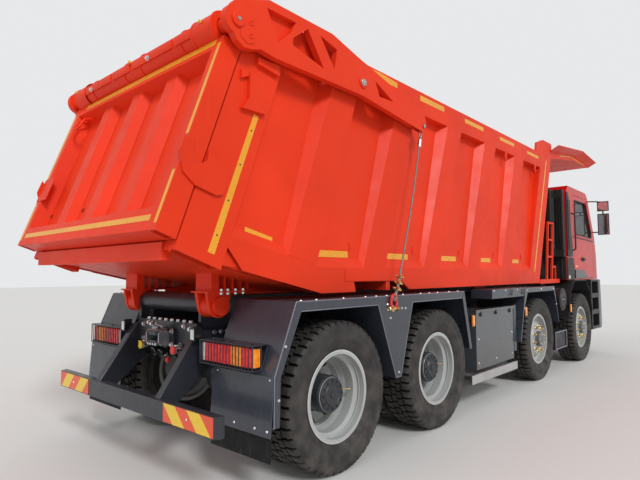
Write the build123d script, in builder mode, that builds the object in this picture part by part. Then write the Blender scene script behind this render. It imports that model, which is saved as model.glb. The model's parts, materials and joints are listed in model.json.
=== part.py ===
"""Four-axle dump truck with a ribbed rock bed and a cable-lifted tailgate.

Frame: X forward, Y to the left, Z up, millimetres. The origin is on the
ground, under the middle of the truck's overall box.
"""
import os
from math import atan2, cos, degrees, hypot, radians, sin, tan

from build123d import *

os.makedirs("parts", exist_ok=True)

# Wheels and axles
STEER_AXLES = {"front": 3080, "second": 1130}
DRIVE_AXLES = {"third": -1600, "rear": -3000}
SIDES = {"left": 1, "right": -1}
TYRE_R = 530
WHEEL_Z = 530
TYRE_HALF = 152
RIM_SEAT_R = 300
RIM_FLANGE_R = 321
RIM_WELL_R = 270
RIM_WALL = 7
RIM_HALF = 118
STEER_Y = 1075
DUAL_IN_Y = 745
DUAL_OUT_Y = 1095
DUAL_DISC_Y = 920
KINGPIN_Y = 850

# Chassis
RAIL_OUT = 410
RAIL_LOW = 730
RAIL_TOP = 1030
RAIL_WALL = 10
RAIL_FLANGE = 85
FRAME_REAR = -3590
FRAME_FRONT = 4230
OVERFRAME_TOP = 1225

# Tipping hinge and hoist
HINGE_X = -3585
HINGE_Z = 1168
HINGE_PIN_R = 35
HOIST_X = 1950
HOIST_Z = 850
HOIST_EYE_X = 2250
HOIST_EYE_Z = 2560
HOIST_LENGTH = hypot(HOIST_EYE_X - HOIST_X, HOIST_EYE_Z - HOIST_Z)
HOIST_LEAN = degrees(atan2(HOIST_EYE_X - HOIST_X, HOIST_EYE_Z - HOIST_Z))

# Bed: everything leans forward at the top by LEAN degrees
LEAN = 20
SIDE_Y = 1070
BED_LOW = 1250
FOOT_Z = 1440
RAIL_BOTTOM = 2930
RAIL_UPPER = 3150
SKIN = 10
WALL_LOW_Y = 1034
WALL_LOW_Z = 1335
SKIN_TOP_Y = 980
KNEE_X = -3018
TAIL_RISE = 12.5
FRONT_X = 1585
FLOOR_ABOVE = 80
FLOOR_THICK = 12
FLOOR_HALF = 1012
RIB_FACE = 305
RIB_FEET_X = (-3385, -2508, -1561, -648, 279)
FRONT_POST_X = 1237
POST_DEPTH = 120

# Tailgate and its lifting arms
GATE_REAR_X = -4367
GATE_REAR_Z = 1636
GATE_DEPTH = 137
GATE_GAP = 13
GATE_HALF = 1076
GATE_HEIGHT = 1320
GATE_SHAFT_X = -3880
GATE_SHAFT_Z = 2960
GATE_TUBE_R = 88
ARM_PIVOT_X = -2610
ARM_PIVOT_Z = 2920
ARM_TIP_X = -1670
ARM_TIP_Z = 2745
ARM_IN = 1110
ARM_OUT = 1160
ROPE_FOOT_X = -2369
ROPE_FOOT_Z = 1165
ROPE_FOOT_Y = 1270
ROPE_TIP_Y = 1130
ROPE_BOW = 35
ROPE_R = 8

# Cab
CAB_HALF = 1150
CAB_WALL = 45
CAB_LOW = 1280
DOOR_REAR_X = 3010
DOOR_FRONT_X = 4150
DOOR_GAP = 6


def lean_x(x, z_from, z_to):
    """X of a point that starts at x and climbs the bed's lean."""
    return x + (z_to - z_from) * tan(radians(LEAN))


def side_face(points, y):
    """A face drawn as (x, z) points in the upright plane at this y."""
    with BuildSketch(Plane.XZ.offset(-y)) as profile:
        with BuildLine():
            Polyline(*points, close=True)
        make_face()
    return profile.sketch


def side_plate(points, y_low, y_high, mode=Mode.ADD):
    """Extrude an (x, z) outline from y_high down to y_low."""
    extrude(side_face(points, y_high), amount=y_high - y_low, mode=mode)


def side_disc(x, z, radius, y_low, y_high, mode=Mode.ADD):
    """A cylinder along Y between two y values."""
    with BuildSketch(Plane.XZ.offset(-y_high)) as profile:
        with Locations((x, z)):
            Circle(radius)
    extrude(profile.sketch, amount=y_high - y_low, mode=mode)


def cross_section(points, x_low, x_high, mode=Mode.ADD):
    """Extrude a (y, z) outline from x_low to x_high."""
    with BuildSketch(Plane.YZ.offset(x_low)) as profile:
        with BuildLine():
            Polyline(*points, close=True)
        make_face()
    extrude(profile.sketch, amount=x_high - x_low, mode=mode)


def block(x_low, x_high, y_low, y_high, z_low, z_high, mode=Mode.ADD):
    """A plain block between two corners."""
    with BuildSketch(Plane.XY.offset(z_low)) as profile:
        with Locations(((x_low + x_high) / 2, (y_low + y_high) / 2)):
            Rectangle(x_high - x_low, y_high - y_low)
    extrude(profile.sketch, amount=z_high - z_low, mode=mode)


def wheel_plane(axle_x, side):
    """Sketch plane of a wheel: local x is the radius, local y points outboard."""
    return Plane(origin=(axle_x, 0, WHEEL_Z), x_dir=(0, 0, 1), z_dir=(-side, 0, 0))


def wheel_axis(axle_x):
    return Axis((axle_x, 0, WHEEL_Z), (0, 1, 0))


def turned(points, axle_x, side, mode=Mode.ADD):
    """Revolve a (radius, y) outline about a wheel's axle."""
    with BuildSketch(wheel_plane(axle_x, side)) as profile:
        with BuildLine():
            Polyline(*points, close=True)
        make_face()
    revolve(profile.sketch, axis=wheel_axis(axle_x), mode=mode)


def tyre_ring(axle_x, side, y):
    """One tyre centred on y: bead seat, bulged sidewalls and a flat tread."""
    tread_half = 122
    shoulder_r = TYRE_R - 18
    with BuildSketch(wheel_plane(axle_x, side)) as profile:
        with BuildLine():
            Line((RIM_SEAT_R + 1, y - RIM_HALF + 8), (RIM_SEAT_R + 1, y + RIM_HALF - 8))
            Line((RIM_SEAT_R + 1, y + RIM_HALF - 8), (RIM_FLANGE_R + 6, y + RIM_HALF - 8))
            ThreePointArc((RIM_FLANGE_R + 6, y + RIM_HALF - 8), (420, y + TYRE_HALF),
                          (shoulder_r, y + TYRE_HALF - 12))
            Line((shoulder_r, y + TYRE_HALF - 12), (TYRE_R, y + tread_half))
            Line((TYRE_R, y + tread_half), (TYRE_R, y - tread_half))
            Line((TYRE_R, y - tread_half), (shoulder_r, y - TYRE_HALF + 12))
            ThreePointArc((shoulder_r, y - TYRE_HALF + 12), (420, y - TYRE_HALF),
                          (RIM_FLANGE_R + 6, y - RIM_HALF + 8))
            Line((RIM_FLANGE_R + 6, y - RIM_HALF + 8), (RIM_SEAT_R + 1, y - RIM_HALF + 8))
        make_face()
    revolve(profile.sketch, axis=wheel_axis(axle_x))


def rim_barrel(axle_x, side, y):
    """Drop-centre barrel with both flanges."""
    well_r = RIM_WELL_R
    wall = RIM_WALL
    seat = RIM_SEAT_R
    turned([(RIM_FLANGE_R, y - RIM_HALF), (RIM_FLANGE_R, y - RIM_HALF + wall),
            (seat, y - RIM_HALF + wall), (seat, y - 55), (well_r, y - 35),
            (well_r, y + 35), (seat, y + 55), (seat, y + RIM_HALF - wall),
            (RIM_FLANGE_R, y + RIM_HALF - wall), (RIM_FLANGE_R, y + RIM_HALF),
            (seat - wall, y + RIM_HALF), (seat - wall, y + 58), (well_r - wall, y + 38),
            (well_r - wall, y - 38), (seat - wall, y - 58), (seat - wall, y - RIM_HALF)],
           axle_x, side)


def hand_holes(axle_x, side, y, reach, radius, hole_r, count):
    """Round hand holes through a wheel disc."""
    with BuildSketch(wheel_disc_plane(axle_x, side, y)) as profile:
        with PolarLocations(radius, count, start_angle=18):
            Circle(hole_r)
    extrude(profile.sketch, amount=reach, both=True, mode=Mode.SUBTRACT)


def wheel_disc_plane(axle_x, side, y):
    return Plane(origin=(axle_x, side * y, WHEEL_Z), x_dir=(1, 0, 0), z_dir=(0, side, 0))


def save(builder, name):
    builder.part.label = name
    export_step(builder.part, f"parts/{name}.step")


# Steered wheels: tyre, convex-disc rim and knuckle on each side of two axles
for axle, axle_x in STEER_AXLES.items():
    for side_name, side in SIDES.items():
        with BuildPart() as tyre:
            tyre_ring(axle_x, side, STEER_Y)
        save(tyre, f"tyre_{axle}_{side_name}")

        with BuildPart() as rim:
            rim_barrel(axle_x, side, STEER_Y)
            turned([(266, STEER_Y + 20), (266, STEER_Y + 31), (200, STEER_Y + 92),
                    (190, STEER_Y + 104), (95, STEER_Y + 104), (95, STEER_Y + 150),
                    (60, STEER_Y + 158), (0, STEER_Y + 158), (0, STEER_Y + 20),
                    (50, STEER_Y + 20), (50, STEER_Y - 60), (110, STEER_Y - 60),
                    (110, STEER_Y + 60), (150, STEER_Y + 90), (184, STEER_Y + 90),
                    (194, STEER_Y + 80)], axle_x, side)
            hand_holes(axle_x, side, STEER_Y + 60, 45, 233, 19, 10)
        save(rim, f"rim_{axle}_{side_name}")

        with BuildPart() as knuckle:
            turned([(0, KINGPIN_Y - 20), (44, KINGPIN_Y - 20), (44, STEER_Y + 10),
                    (0, STEER_Y + 10)], axle_x, side)
            turned([(0, 935), (185, 935), (195, 945), (195, 990), (60, 1005),
                    (0, 1005)], axle_x, side)
            with BuildSketch(Plane.XY.offset(WHEEL_Z - 130)) as kingpin:
                with Locations((axle_x, side * KINGPIN_Y)):
                    Circle(42)
            extrude(kingpin.sketch, amount=260)
            block(axle_x - 230, axle_x, *sorted((side * 855, side * 825)),
                  WHEEL_Z - 120, WHEEL_Z - 85)
        save(knuckle, f"knuckle_{axle}_{side_name}")

# Driven twin wheels: two tyres and two rims bolted disc to disc
for axle, axle_x in DRIVE_AXLES.items():
    for side_name, side in SIDES.items():
        with BuildPart() as tyres:
            tyre_ring(axle_x, side, DUAL_IN_Y)
            tyre_ring(axle_x, side, DUAL_OUT_Y)
        save(tyres, f"tyres_{axle}_{side_name}")

        with BuildPart() as rims:
            rim_barrel(axle_x, side, DUAL_IN_Y)
            rim_barrel(axle_x, side, DUAL_OUT_Y)
            turned([(266, DUAL_DISC_Y + 144), (228, DUAL_DISC_Y + 45), (184, DUAL_DISC_Y + 16),
                    (128, DUAL_DISC_Y + 16), (128, DUAL_DISC_Y + 212),
                    (112, DUAL_DISC_Y + 232), (0, DUAL_DISC_Y + 232), (0, DUAL_DISC_Y - 195),
                    (200, DUAL_DISC_Y - 195), (200, DUAL_DISC_Y - 70),
                    (170, DUAL_DISC_Y - 40), (170, DUAL_DISC_Y - 16),
                    (184, DUAL_DISC_Y - 16), (228, DUAL_DISC_Y - 45),
                    (266, DUAL_DISC_Y - 144), (269, DUAL_DISC_Y - 136),
                    (237, DUAL_DISC_Y - 38), (192, DUAL_DISC_Y - 3), (192, DUAL_DISC_Y + 3),
                    (237, DUAL_DISC_Y + 38), (269, DUAL_DISC_Y + 136)], axle_x, side)
            hand_holes(axle_x, side, DUAL_DISC_Y, 60, 220, 21, 10)
        save(rims, f"rims_{axle}_{side_name}")

# Frame rails: two channels, open sides inward
with BuildPart() as frame_rails:
    for side in (1, -1):
        web_in = side * (RAIL_OUT - RAIL_WALL)
        tip = side * (RAIL_OUT - RAIL_FLANGE)
        out = side * RAIL_OUT
        cross_section([(out, RAIL_LOW), (out, RAIL_TOP), (tip, RAIL_TOP),
                       (tip, RAIL_TOP - RAIL_WALL), (web_in, RAIL_TOP - RAIL_WALL),
                       (web_in, RAIL_LOW + RAIL_WALL), (tip, RAIL_LOW + RAIL_WALL),
                       (tip, RAIL_LOW)], FRAME_REAR, FRAME_FRONT)
save(frame_rails, "frame_rails")

# Crossmembers: tubes between the webs, the hoist cradle, the rear beam and its coupling
WEB_GAP = RAIL_OUT - RAIL_WALL
JAW_LOW = 865
JAW_HIGH = 965
JAW_LIP = 30
JAW_PIN_X = -3722
JAW_PIN_R = 25
with BuildPart() as crossmembers:
    for x, z, radius in ((4100, 850, 60), (2170, 860, 50), (400, 860, 60),
                         (-900, 860, 60), (-2300, 880, 70)):
        side_disc(x, z, radius, -WEB_GAP, WEB_GAP)
    cradle_half = 200
    block(HOIST_X - 90, HOIST_X + 90, -WEB_GAP, WEB_GAP, 650, 720)
    for side in (1, -1):
        y_low, y_high = sorted((side * 165, side * cradle_half))
        side_plate([(HOIST_X - 90, 715), (HOIST_X + 90, 715), (HOIST_X + 60, HOIST_Z + 70),
                    (HOIST_X - 60, HOIST_Z + 70)], y_low, y_high)
        side_disc(HOIST_X, HOIST_Z, 41, y_low, y_high, Mode.SUBTRACT)
    block(FRAME_REAR - 51, FRAME_REAR, -RAIL_OUT, RAIL_OUT, 838, 1034)
    with BuildSketch(Plane.YZ.offset(FRAME_REAR - 51)) as coupling_plate:
        with Locations((0, 915)):
            RectangleRounded(300, 136, 20)
    extrude(coupling_plate.sketch, amount=-25)
    with BuildSketch(Plane.XY.offset(JAW_LOW)) as jaw:
        with BuildLine():
            Polyline((-3655, -80), (-3655, 80), (-3730, 80), (-3760, 48), (-3760, -48),
                     (-3730, -80), close=True)
        make_face()
    extrude(jaw.sketch, amount=JAW_HIGH - JAW_LOW)
    block(-3780, -3688, -100, 100, JAW_LOW + JAW_LIP, JAW_HIGH - JAW_LIP, Mode.SUBTRACT)
    with BuildSketch(Plane.XY.offset(JAW_LOW - 5)) as pin_bore:
        with Locations((JAW_PIN_X, 0)):
            Circle(JAW_PIN_R)
    extrude(pin_bore.sketch, amount=JAW_HIGH - JAW_LOW + 10, mode=Mode.SUBTRACT)
save(crossmembers, "crossmembers")

# Overframe on top of the rails: two beams, the rear cross tube and the hinge pins
PIN_END = 622
with BuildPart() as overframe:
    for side in (1, -1):
        y_low, y_high = sorted((side * 335, side * RAIL_OUT))
        side_plate([(-3560, RAIL_TOP), (1500, RAIL_TOP), (1560, 1100), (1560, OVERFRAME_TOP),
                    (-3560, OVERFRAME_TOP)], y_low, y_high)
        y_low, y_high = sorted((side * RAIL_OUT, side * 441))
        side_plate([(-3625, 1049), (-3590, 1005), (-3400, 1005), (-3320, 1100),
                    (-3400, 1230), (-3600, 1230), (-3625, 1208)], y_low, y_high)
        y_low, y_high = sorted((side * 435, side * PIN_END))
        side_disc(HINGE_X, HINGE_Z, HINGE_PIN_R, y_low, y_high)
    side_disc(-3552, 1182, 74, -400, 400)
save(overframe, "overframe")

# Underrun guard: cross bar with chamfered ends on two tapered channel struts
BAR_REAR = -3986
BAR_FRONT = -3926
BAR_HALF = 1095
BAR_END = 1120
with BuildPart() as underrun_guard:
    with BuildSketch(Plane.XY.offset(440)) as bar:
        with BuildLine():
            Polyline((BAR_REAR, -BAR_HALF), (BAR_REAR, BAR_HALF), (BAR_REAR + 36, BAR_END),
                     (BAR_FRONT, BAR_END), (BAR_FRONT, -BAR_END), (BAR_REAR + 36, -BAR_END),
                     close=True)
        make_face()
    extrude(bar.sketch, amount=128)
    strut = [(-3670, 990), (-3965, 565), (-3940, 500), (-3848, 500), (-3560, 740), (-3560, 990)]
    channel = [(-3652, 1000), (-3940, 578), (-3900, 440), (-3500, 440), (-3500, 1000)]
    for side in (1, -1):
        y_low, y_high = sorted((side * RAIL_OUT, side * 472))
        side_plate(strut, y_low, y_high)
        y_low, y_high = sorted((side * 424, side * 460))
        side_plate(channel, y_low, y_high, Mode.SUBTRACT)
    block(BAR_REAR + 6, BAR_FRONT, -BAR_HALF, BAR_HALF, 446, 562)
save(underrun_guard, "underrun_guard")

# Tail lamps: housings in open cages, brackets and the two small lamp boxes
LAMP_IN = 567
LAMP_OUT = 1125
LAMP_REAR = -3722
LAMP_BACK = -3642
with BuildPart() as tail_lamps:
    for side in (1, -1):
        y_low, y_high = sorted((side * (LAMP_IN + 8), side * (LAMP_OUT - 8)))
        block(-3690, LAMP_BACK, y_low, y_high, 800, 933)
        y_low, y_high = sorted((side * LAMP_IN, side * LAMP_OUT))
        block(LAMP_REAR, -3580, y_low, y_high, 941, 947)
        block(LAMP_REAR, LAMP_BACK, y_low, y_high, 786, 792)
        block(LAMP_BACK - 6, LAMP_BACK, y_low, y_high, 786, 947)
        for y in (LAMP_IN, LAMP_OUT - 6):
            y_low, y_high = sorted((side * y, side * (y + 6)))
            side_plate([(LAMP_REAR, 786), (LAMP_REAR, 947), (-3580, 947), (LAMP_BACK, 800),
                        (LAMP_BACK, 786)], y_low, y_high)
        y_low, y_high = sorted((side * 472, side * (LAMP_IN + 4)))
        block(-3644, -3600, y_low, y_high, 870, 900)
        block(-3680, -3640, y_low, y_high, 870, 935)
        y_low, y_high = sorted((side * 473, side * 526))
        block(-3735, -3671, y_low, y_high, 925, 1018)
save(tail_lamps, "tail_lamps")

# Rear mudguards: top strip, sloped ends, a vee between the wheels and a side skirt
GUARD_OUT = 1250
GUARD_IN = 640
with BuildPart() as rear_mudguards:
    for side in (1, -1):
        y_low, y_high = sorted((side * GUARD_IN, side * GUARD_OUT))
        outer = [(-3655, 455), (-3650, 760), (-3460, 1215), (-1105, 1215), (-965, 640)]
        inner = [(-971, 640), (-1110, 1209), (-3455, 1209), (-3644, 758), (-3649, 455)]
        side_plate(outer + inner, y_low, y_high)
        y_low, y_high = sorted((side * (GUARD_OUT - 5), side * GUARD_OUT))
        side_plate([(-3655, 455), (-3650, 760), (-3462, 1212), (-3415, 1150), (-3600, 750),
                    (-3607, 455)], y_low, y_high)
        side_plate([(-1105, 1212), (-965, 640), (-1005, 640), (-1140, 1150)], y_low, y_high)
        y_low, y_high = sorted((side * (GUARD_OUT - 8), side * GUARD_OUT))
        side_plate([(-3465, 1212), (-3420, 1150), (-2560, 1150), (-2325, 560), (-2255, 560),
                    (-2060, 1150), (-1150, 1150), (-1105, 1212)], y_low, y_high)
        y_low, y_high = sorted((side * GUARD_IN, side * (GUARD_OUT - 4)))
        side_plate([(-2560, 1150), (-2325, 560), (-2319, 560), (-2550, 1212),
                    (-2566, 1212)], y_low, y_high)
        side_plate([(-2060, 1150), (-2255, 560), (-2261, 560), (-2068, 1212),
                    (-2052, 1212)], y_low, y_high)
save(rear_mudguards, "rear_mudguards")

# Rubber flaps below the rear panels
with BuildPart() as mud_flaps:
    for side in (1, -1):
        y_low, y_high = sorted((side * 645, side * 1235))
        side_plate([(-3676, 250), (-3665, 520), (-3657, 520), (-3668, 250)], y_low, y_high)
save(mud_flaps, "mud_flaps")

# Guards over the second axle
with BuildPart() as second_axle_guards:
    for side in (1, -1):
        y_low, y_high = sorted((side * GUARD_IN, side * GUARD_OUT))
        side_plate([(360, 570), (560, 1205), (1640, 1205), (1800, 700), (1792, 700),
                    (1634, 1199), (566, 1199), (368, 570)], y_low, y_high)
        y_low, y_high = sorted((side * (GUARD_OUT - 8), side * GUARD_OUT))
        side_plate([(470, 920), (560, 1205), (1640, 1205), (1730, 920), (1620, 1150),
                    (620, 1150)], y_low, y_high)
save(second_axle_guards, "second_axle_guards")

# Fuel tank on the right, battery box on the left
with BuildPart() as fuel_tank:
    with BuildSketch(Plane.YZ.offset(-750)) as tank_section:
        with Locations((-900, 690)):
            RectangleRounded(600, 620, 18)
    extrude(tank_section.sketch, amount=1000)
    for x in (-560, -80):
        block(x - 30, x + 30, -610, -RAIL_OUT, 430, 900)
save(fuel_tank, "fuel_tank")

with BuildPart() as battery_box:
    block(-700, 60, 600, 1200, 450, 960)
    for x in (-500, -140):
        block(x - 30, x + 30, RAIL_OUT, 610, 560, 900)
    block(1795, 2330, -1190, -720, 300, 556)
    block(1805, 2320, -1196, -1180, 310, 546, Mode.SUBTRACT)
    for x in (1900, 2200):
        block(x - 25, x + 25, -725, -RAIL_OUT, 480, 540)
        block(x - 25, x + 25, -440, -RAIL_OUT, 480, 800)
save(battery_box, "battery_box")

with BuildPart() as side_bars:
    for side in (1, -1):
        y_low, y_high = sorted((side * 1205, side * 1235))
        block(-940, 260, y_low, y_high, 270, 360)
        y_low, y_high = sorted((side * 560, side * 1205))
        for x in (-850, 200):
            block(x - 20, x + 20, y_low, y_high, 300, 340)
        y_low, y_high = sorted((side * 520, side * 560))
        for x in (-850, 200):
            block(x - 20, x + 20, y_low, y_high, 300, 760)
            y_a, y_b = sorted((side * RAIL_OUT, side * 525))
            block(x - 20, x + 20, y_a, y_b, 740, 780)
save(side_bars, "side_bars")

# Engine and gearbox as plain masses, with the shaft line to the drive axles
with BuildPart() as powertrain:
    block(2750, 3950, -300, 300, 600, 1230)
    side_plate([(2300, 640), (2750, 620), (2750, 1100), (2300, 1000)], -190, 190)
    for x_low, x_high in ((-1380, 2302), (-2782, -1818)):
        with BuildSketch(Plane.YZ.offset(x_low)) as shaft:
            with Locations((0, 590)):
                Circle(55)
        extrude(shaft.sketch, amount=x_high - x_low)
save(powertrain, "powertrain")

# Front axle beams with their leaf springs
with BuildPart() as front_axles:
    for axle_x in STEER_AXLES.values():
        cross_section([(-790, 470), (-790, 590), (-720, 590), (-600, 470), (600, 470),
                       (720, 590), (790, 590), (790, 470), (700, 420), (640, 360),
                       (-640, 360), (-700, 420)], axle_x - 50, axle_x + 50)
        for side in (1, -1):
            y_low, y_high = sorted((side * 335, side * 425))
            side_plate([(axle_x - 690, 660), (axle_x - 690, 730), (axle_x - 640, 730),
                        (axle_x - 630, 660), (axle_x - 150, 545), (axle_x + 150, 545),
                        (axle_x + 630, 660), (axle_x + 640, 730), (axle_x + 690, 730),
                        (axle_x + 690, 660), (axle_x + 650, 620), (axle_x + 120, 465),
                        (axle_x - 120, 465), (axle_x - 650, 620)], y_low, y_high)
save(front_axles, "front_axles")

# Rear bogie: banjo axles and the shared leaf springs on a trunnion
BOGIE_X = (DRIVE_AXLES["third"] + DRIVE_AXLES["rear"]) / 2
with BuildPart() as rear_axles:
    for axle_x in DRIVE_AXLES.values():
        side_disc(axle_x, WHEEL_Z, 78, -715, 715)
        with BuildSketch(Plane.XZ) as bowl:
            with Locations((axle_x, WHEEL_Z)):
                Circle(215)
        extrude(bowl.sketch, amount=110, both=True, taper=18)
    side_disc(BOGIE_X, 470, 55, -600, 600)
    for side in (1, -1):
        y_low, y_high = sorted((side * 440, side * 530))
        side_plate([(-3080, 600), (-3080, 640), (-2450, 770), (-2150, 770), (-1520, 640),
                    (-1520, 600), (-2150, 660), (-2220, 420), (-2380, 420),
                    (-2450, 660)], y_low, y_high)
        y_low, y_high = sorted((side * RAIL_OUT, side * 440))
        side_plate([(-2480, 1000), (-2120, 1000), (-2220, 420), (-2380, 420)], y_low, y_high)
save(rear_axles, "rear_axles")

# Bed: outline of the side in the XZ plane
RISE_TAN = tan(radians(TAIL_RISE))
GATE_FRONT_X = GATE_REAR_X + GATE_DEPTH / cos(radians(LEAN))


def gap_x(z):
    """X of the posts' rear face at this height, just ahead of the gate."""
    return lean_x(GATE_FRONT_X + GATE_GAP / cos(radians(LEAN)), GATE_REAR_Z, z)


def tail_z(x, z_at_knee):
    """Height of a line that follows the upswept tail behind the knee."""
    return z_at_knee + (KNEE_X - x) * RISE_TAN


rear_low_z = 1523
front_top_x = lean_x(FRONT_X, BED_LOW, RAIL_UPPER)
front_foot_x = lean_x(FRONT_X, BED_LOW, FOOT_Z)
BED_OUTLINE = [(KNEE_X, BED_LOW), (FRONT_X, BED_LOW), (front_top_x, RAIL_UPPER),
               (gap_x(RAIL_UPPER), RAIL_UPPER), (gap_x(rear_low_z), rear_low_z)]
wall_inner = [(-WALL_LOW_Y + SKIN, WALL_LOW_Z), (-SKIN_TOP_Y + SKIN, RAIL_BOTTOM),
              (-SKIN_TOP_Y + SKIN, RAIL_UPPER)]
wall_profile = [(-WALL_LOW_Y, WALL_LOW_Z), (-SKIN_TOP_Y, RAIL_BOTTOM),
                (-SKIN_TOP_Y, RAIL_UPPER)] + wall_inner[::-1]
inside_profile = [(-WALL_LOW_Y + SKIN, 1190)] + wall_inner + [
    (-SKIN_TOP_Y + SKIN, 3400), (-200, 3400), (-200, 1190)]
shelf_profile = [(-SIDE_Y, FOOT_Z), (-WALL_LOW_Y + 8, FOOT_Z + 75),
                 (-WALL_LOW_Y + 16, FOOT_Z + 75), (-SIDE_Y + 8, FOOT_Z - 4)]
POST_FOOT_X = -3925
POST_FOOT_Z = 1418
STRIP_END_X = -3755
GUSSET_X = -3877
GUSSET_Z = 1561

with BuildPart() as bed_side_right:
    # Ribs flare toward the leaning wall; behind the knee their feet follow the tail
    for foot_x in RIB_FEET_X:
        low_rear = FOOT_Z + max(0, KNEE_X - foot_x) * RISE_TAN
        low_front = FOOT_Z + max(0, KNEE_X - foot_x - RIB_FACE) * RISE_TAN
        top_x = lean_x(foot_x, FOOT_Z, RAIL_BOTTOM)
        outline = [(lean_x(foot_x, FOOT_Z, low_rear), low_rear),
                   (lean_x(foot_x + RIB_FACE, FOOT_Z, low_front), low_front),
                   (top_x + RIB_FACE, RAIL_BOTTOM), (top_x, RAIL_BOTTOM)]
        extrude(side_face(outline, -SIDE_Y), amount=-120, taper=-42)
    side_plate([(FRONT_POST_X, FOOT_Z), (front_foot_x, FOOT_Z),
                (lean_x(FRONT_X, BED_LOW, RAIL_BOTTOM), RAIL_BOTTOM),
                (lean_x(FRONT_POST_X, FOOT_Z, RAIL_BOTTOM), RAIL_BOTTOM)],
               -SIDE_Y, -SIDE_Y + 120)
    block(-4600, 2700, -SIDE_Y - 10, -200, RAIL_BOTTOM, 3500, Mode.SUBTRACT)
    cross_section(inside_profile, -4700, 2700, Mode.SUBTRACT)
    # Leaning wall, then the shelf that joins it to the upright lower strip
    cross_section(wall_profile, -4600, 2600)
    with BuildSketch(Plane.YZ.offset(KNEE_X)) as shelf:
        with BuildLine():
            Polyline(*shelf_profile, close=True)
        make_face()
    extrude(shelf.sketch, amount=front_foot_x - KNEE_X)
    extrude(shelf.sketch, amount=(KNEE_X - GUSSET_X) / cos(radians(TAIL_RISE)),
            dir=(-cos(radians(TAIL_RISE)), 0, sin(radians(TAIL_RISE))))
    side_plate([(FRONT_X, BED_LOW), (front_foot_x, FOOT_Z), (KNEE_X, FOOT_Z),
                (GUSSET_X, tail_z(GUSSET_X, FOOT_Z)), (GUSSET_X, GUSSET_Z),
                (STRIP_END_X, tail_z(STRIP_END_X, BED_LOW)), (KNEE_X, BED_LOW)],
               -SIDE_Y, -SIDE_Y + SKIN)
    side_plate([(-2750, 1418), (-1970, 1408), (-1785, 1256), (-1830, 1256), (-1963, 1334),
                (-2633, 1334), (-2750, 1334)], -SIDE_Y - 5, -SIDE_Y + 2)
    side_plate([(-2633, 1330), (-1963, 1327), (-1815, 1240), (-2610, 1240)],
               -SIDE_Y - 10, -SIDE_Y + SKIN + 5, Mode.SUBTRACT)
    side_plate(BED_OUTLINE, -SIDE_Y - 8, -200, Mode.INTERSECT)
    side_plate([(gap_x(RAIL_BOTTOM) + 40, RAIL_BOTTOM),
                (lean_x(FRONT_X, BED_LOW, RAIL_BOTTOM), RAIL_BOTTOM),
                (front_top_x, RAIL_UPPER), (gap_x(RAIL_UPPER) + 90, RAIL_UPPER)],
               -SIDE_Y, -SKIN_TOP_Y)
    # Rear post, its foot gusset, the two stop blocks and the arm's pin
    side_plate([(gap_x(1534), 1534), (POST_FOOT_X, POST_FOOT_Z),
                (lean_x(POST_FOOT_X, POST_FOOT_Z, RAIL_BOTTOM + 20), RAIL_BOTTOM + 20),
                (gap_x(RAIL_BOTTOM + 20), RAIL_BOTTOM + 20)], -SIDE_Y, -SIDE_Y + POST_DEPTH)
    side_plate([(gap_x(1480) + 18, 1480), (POST_FOOT_X - 20, 1400),
                (lean_x(POST_FOOT_X, POST_FOOT_Z, 1640) - 20, 1640),
                (gap_x(1640) + 18, 1640)],
               -SIDE_Y + 12, -SIDE_Y + POST_DEPTH - 12, Mode.SUBTRACT)
    side_plate([(POST_FOOT_X + 6, 1450), (STRIP_END_X + 4, 1428), (GUSSET_X + 4, GUSSET_Z),
                (-3830, 1640), (-3870, 1600)], -SIDE_Y + 30, -SIDE_Y + 38)
    side_plate([(-3728, 2690), (-3595, 2690), (-3595, 2440), (-3790, 2440), (-3733, 2518)],
               -SIDE_Y - 32, -SIDE_Y + 5)
    side_plate([(-3794, 2636), (-3728, 2665), (-3728, 2700), (-3789, 2695)],
               -SIDE_Y - 22, -SIDE_Y + 5)
    side_plate([(-3660, 2765), (-3470, 2735), (-3470, 2807), (-3660, 2807)],
               -SIDE_Y - 32, -SIDE_Y + 5)
    side_disc(ARM_PIVOT_X, ARM_PIVOT_Z, 70, -ARM_IN + 6, -SKIN_TOP_Y - 2)
    side_disc(ARM_PIVOT_X, ARM_PIVOT_Z, 30, -ARM_OUT - 12, -ARM_IN + 10)
save(bed_side_right, "bed_side_right")

with BuildPart() as bed_side_left:
    mirror(bed_side_right.part, about=Plane.XZ)
save(bed_side_left, "bed_side_left")

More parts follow.
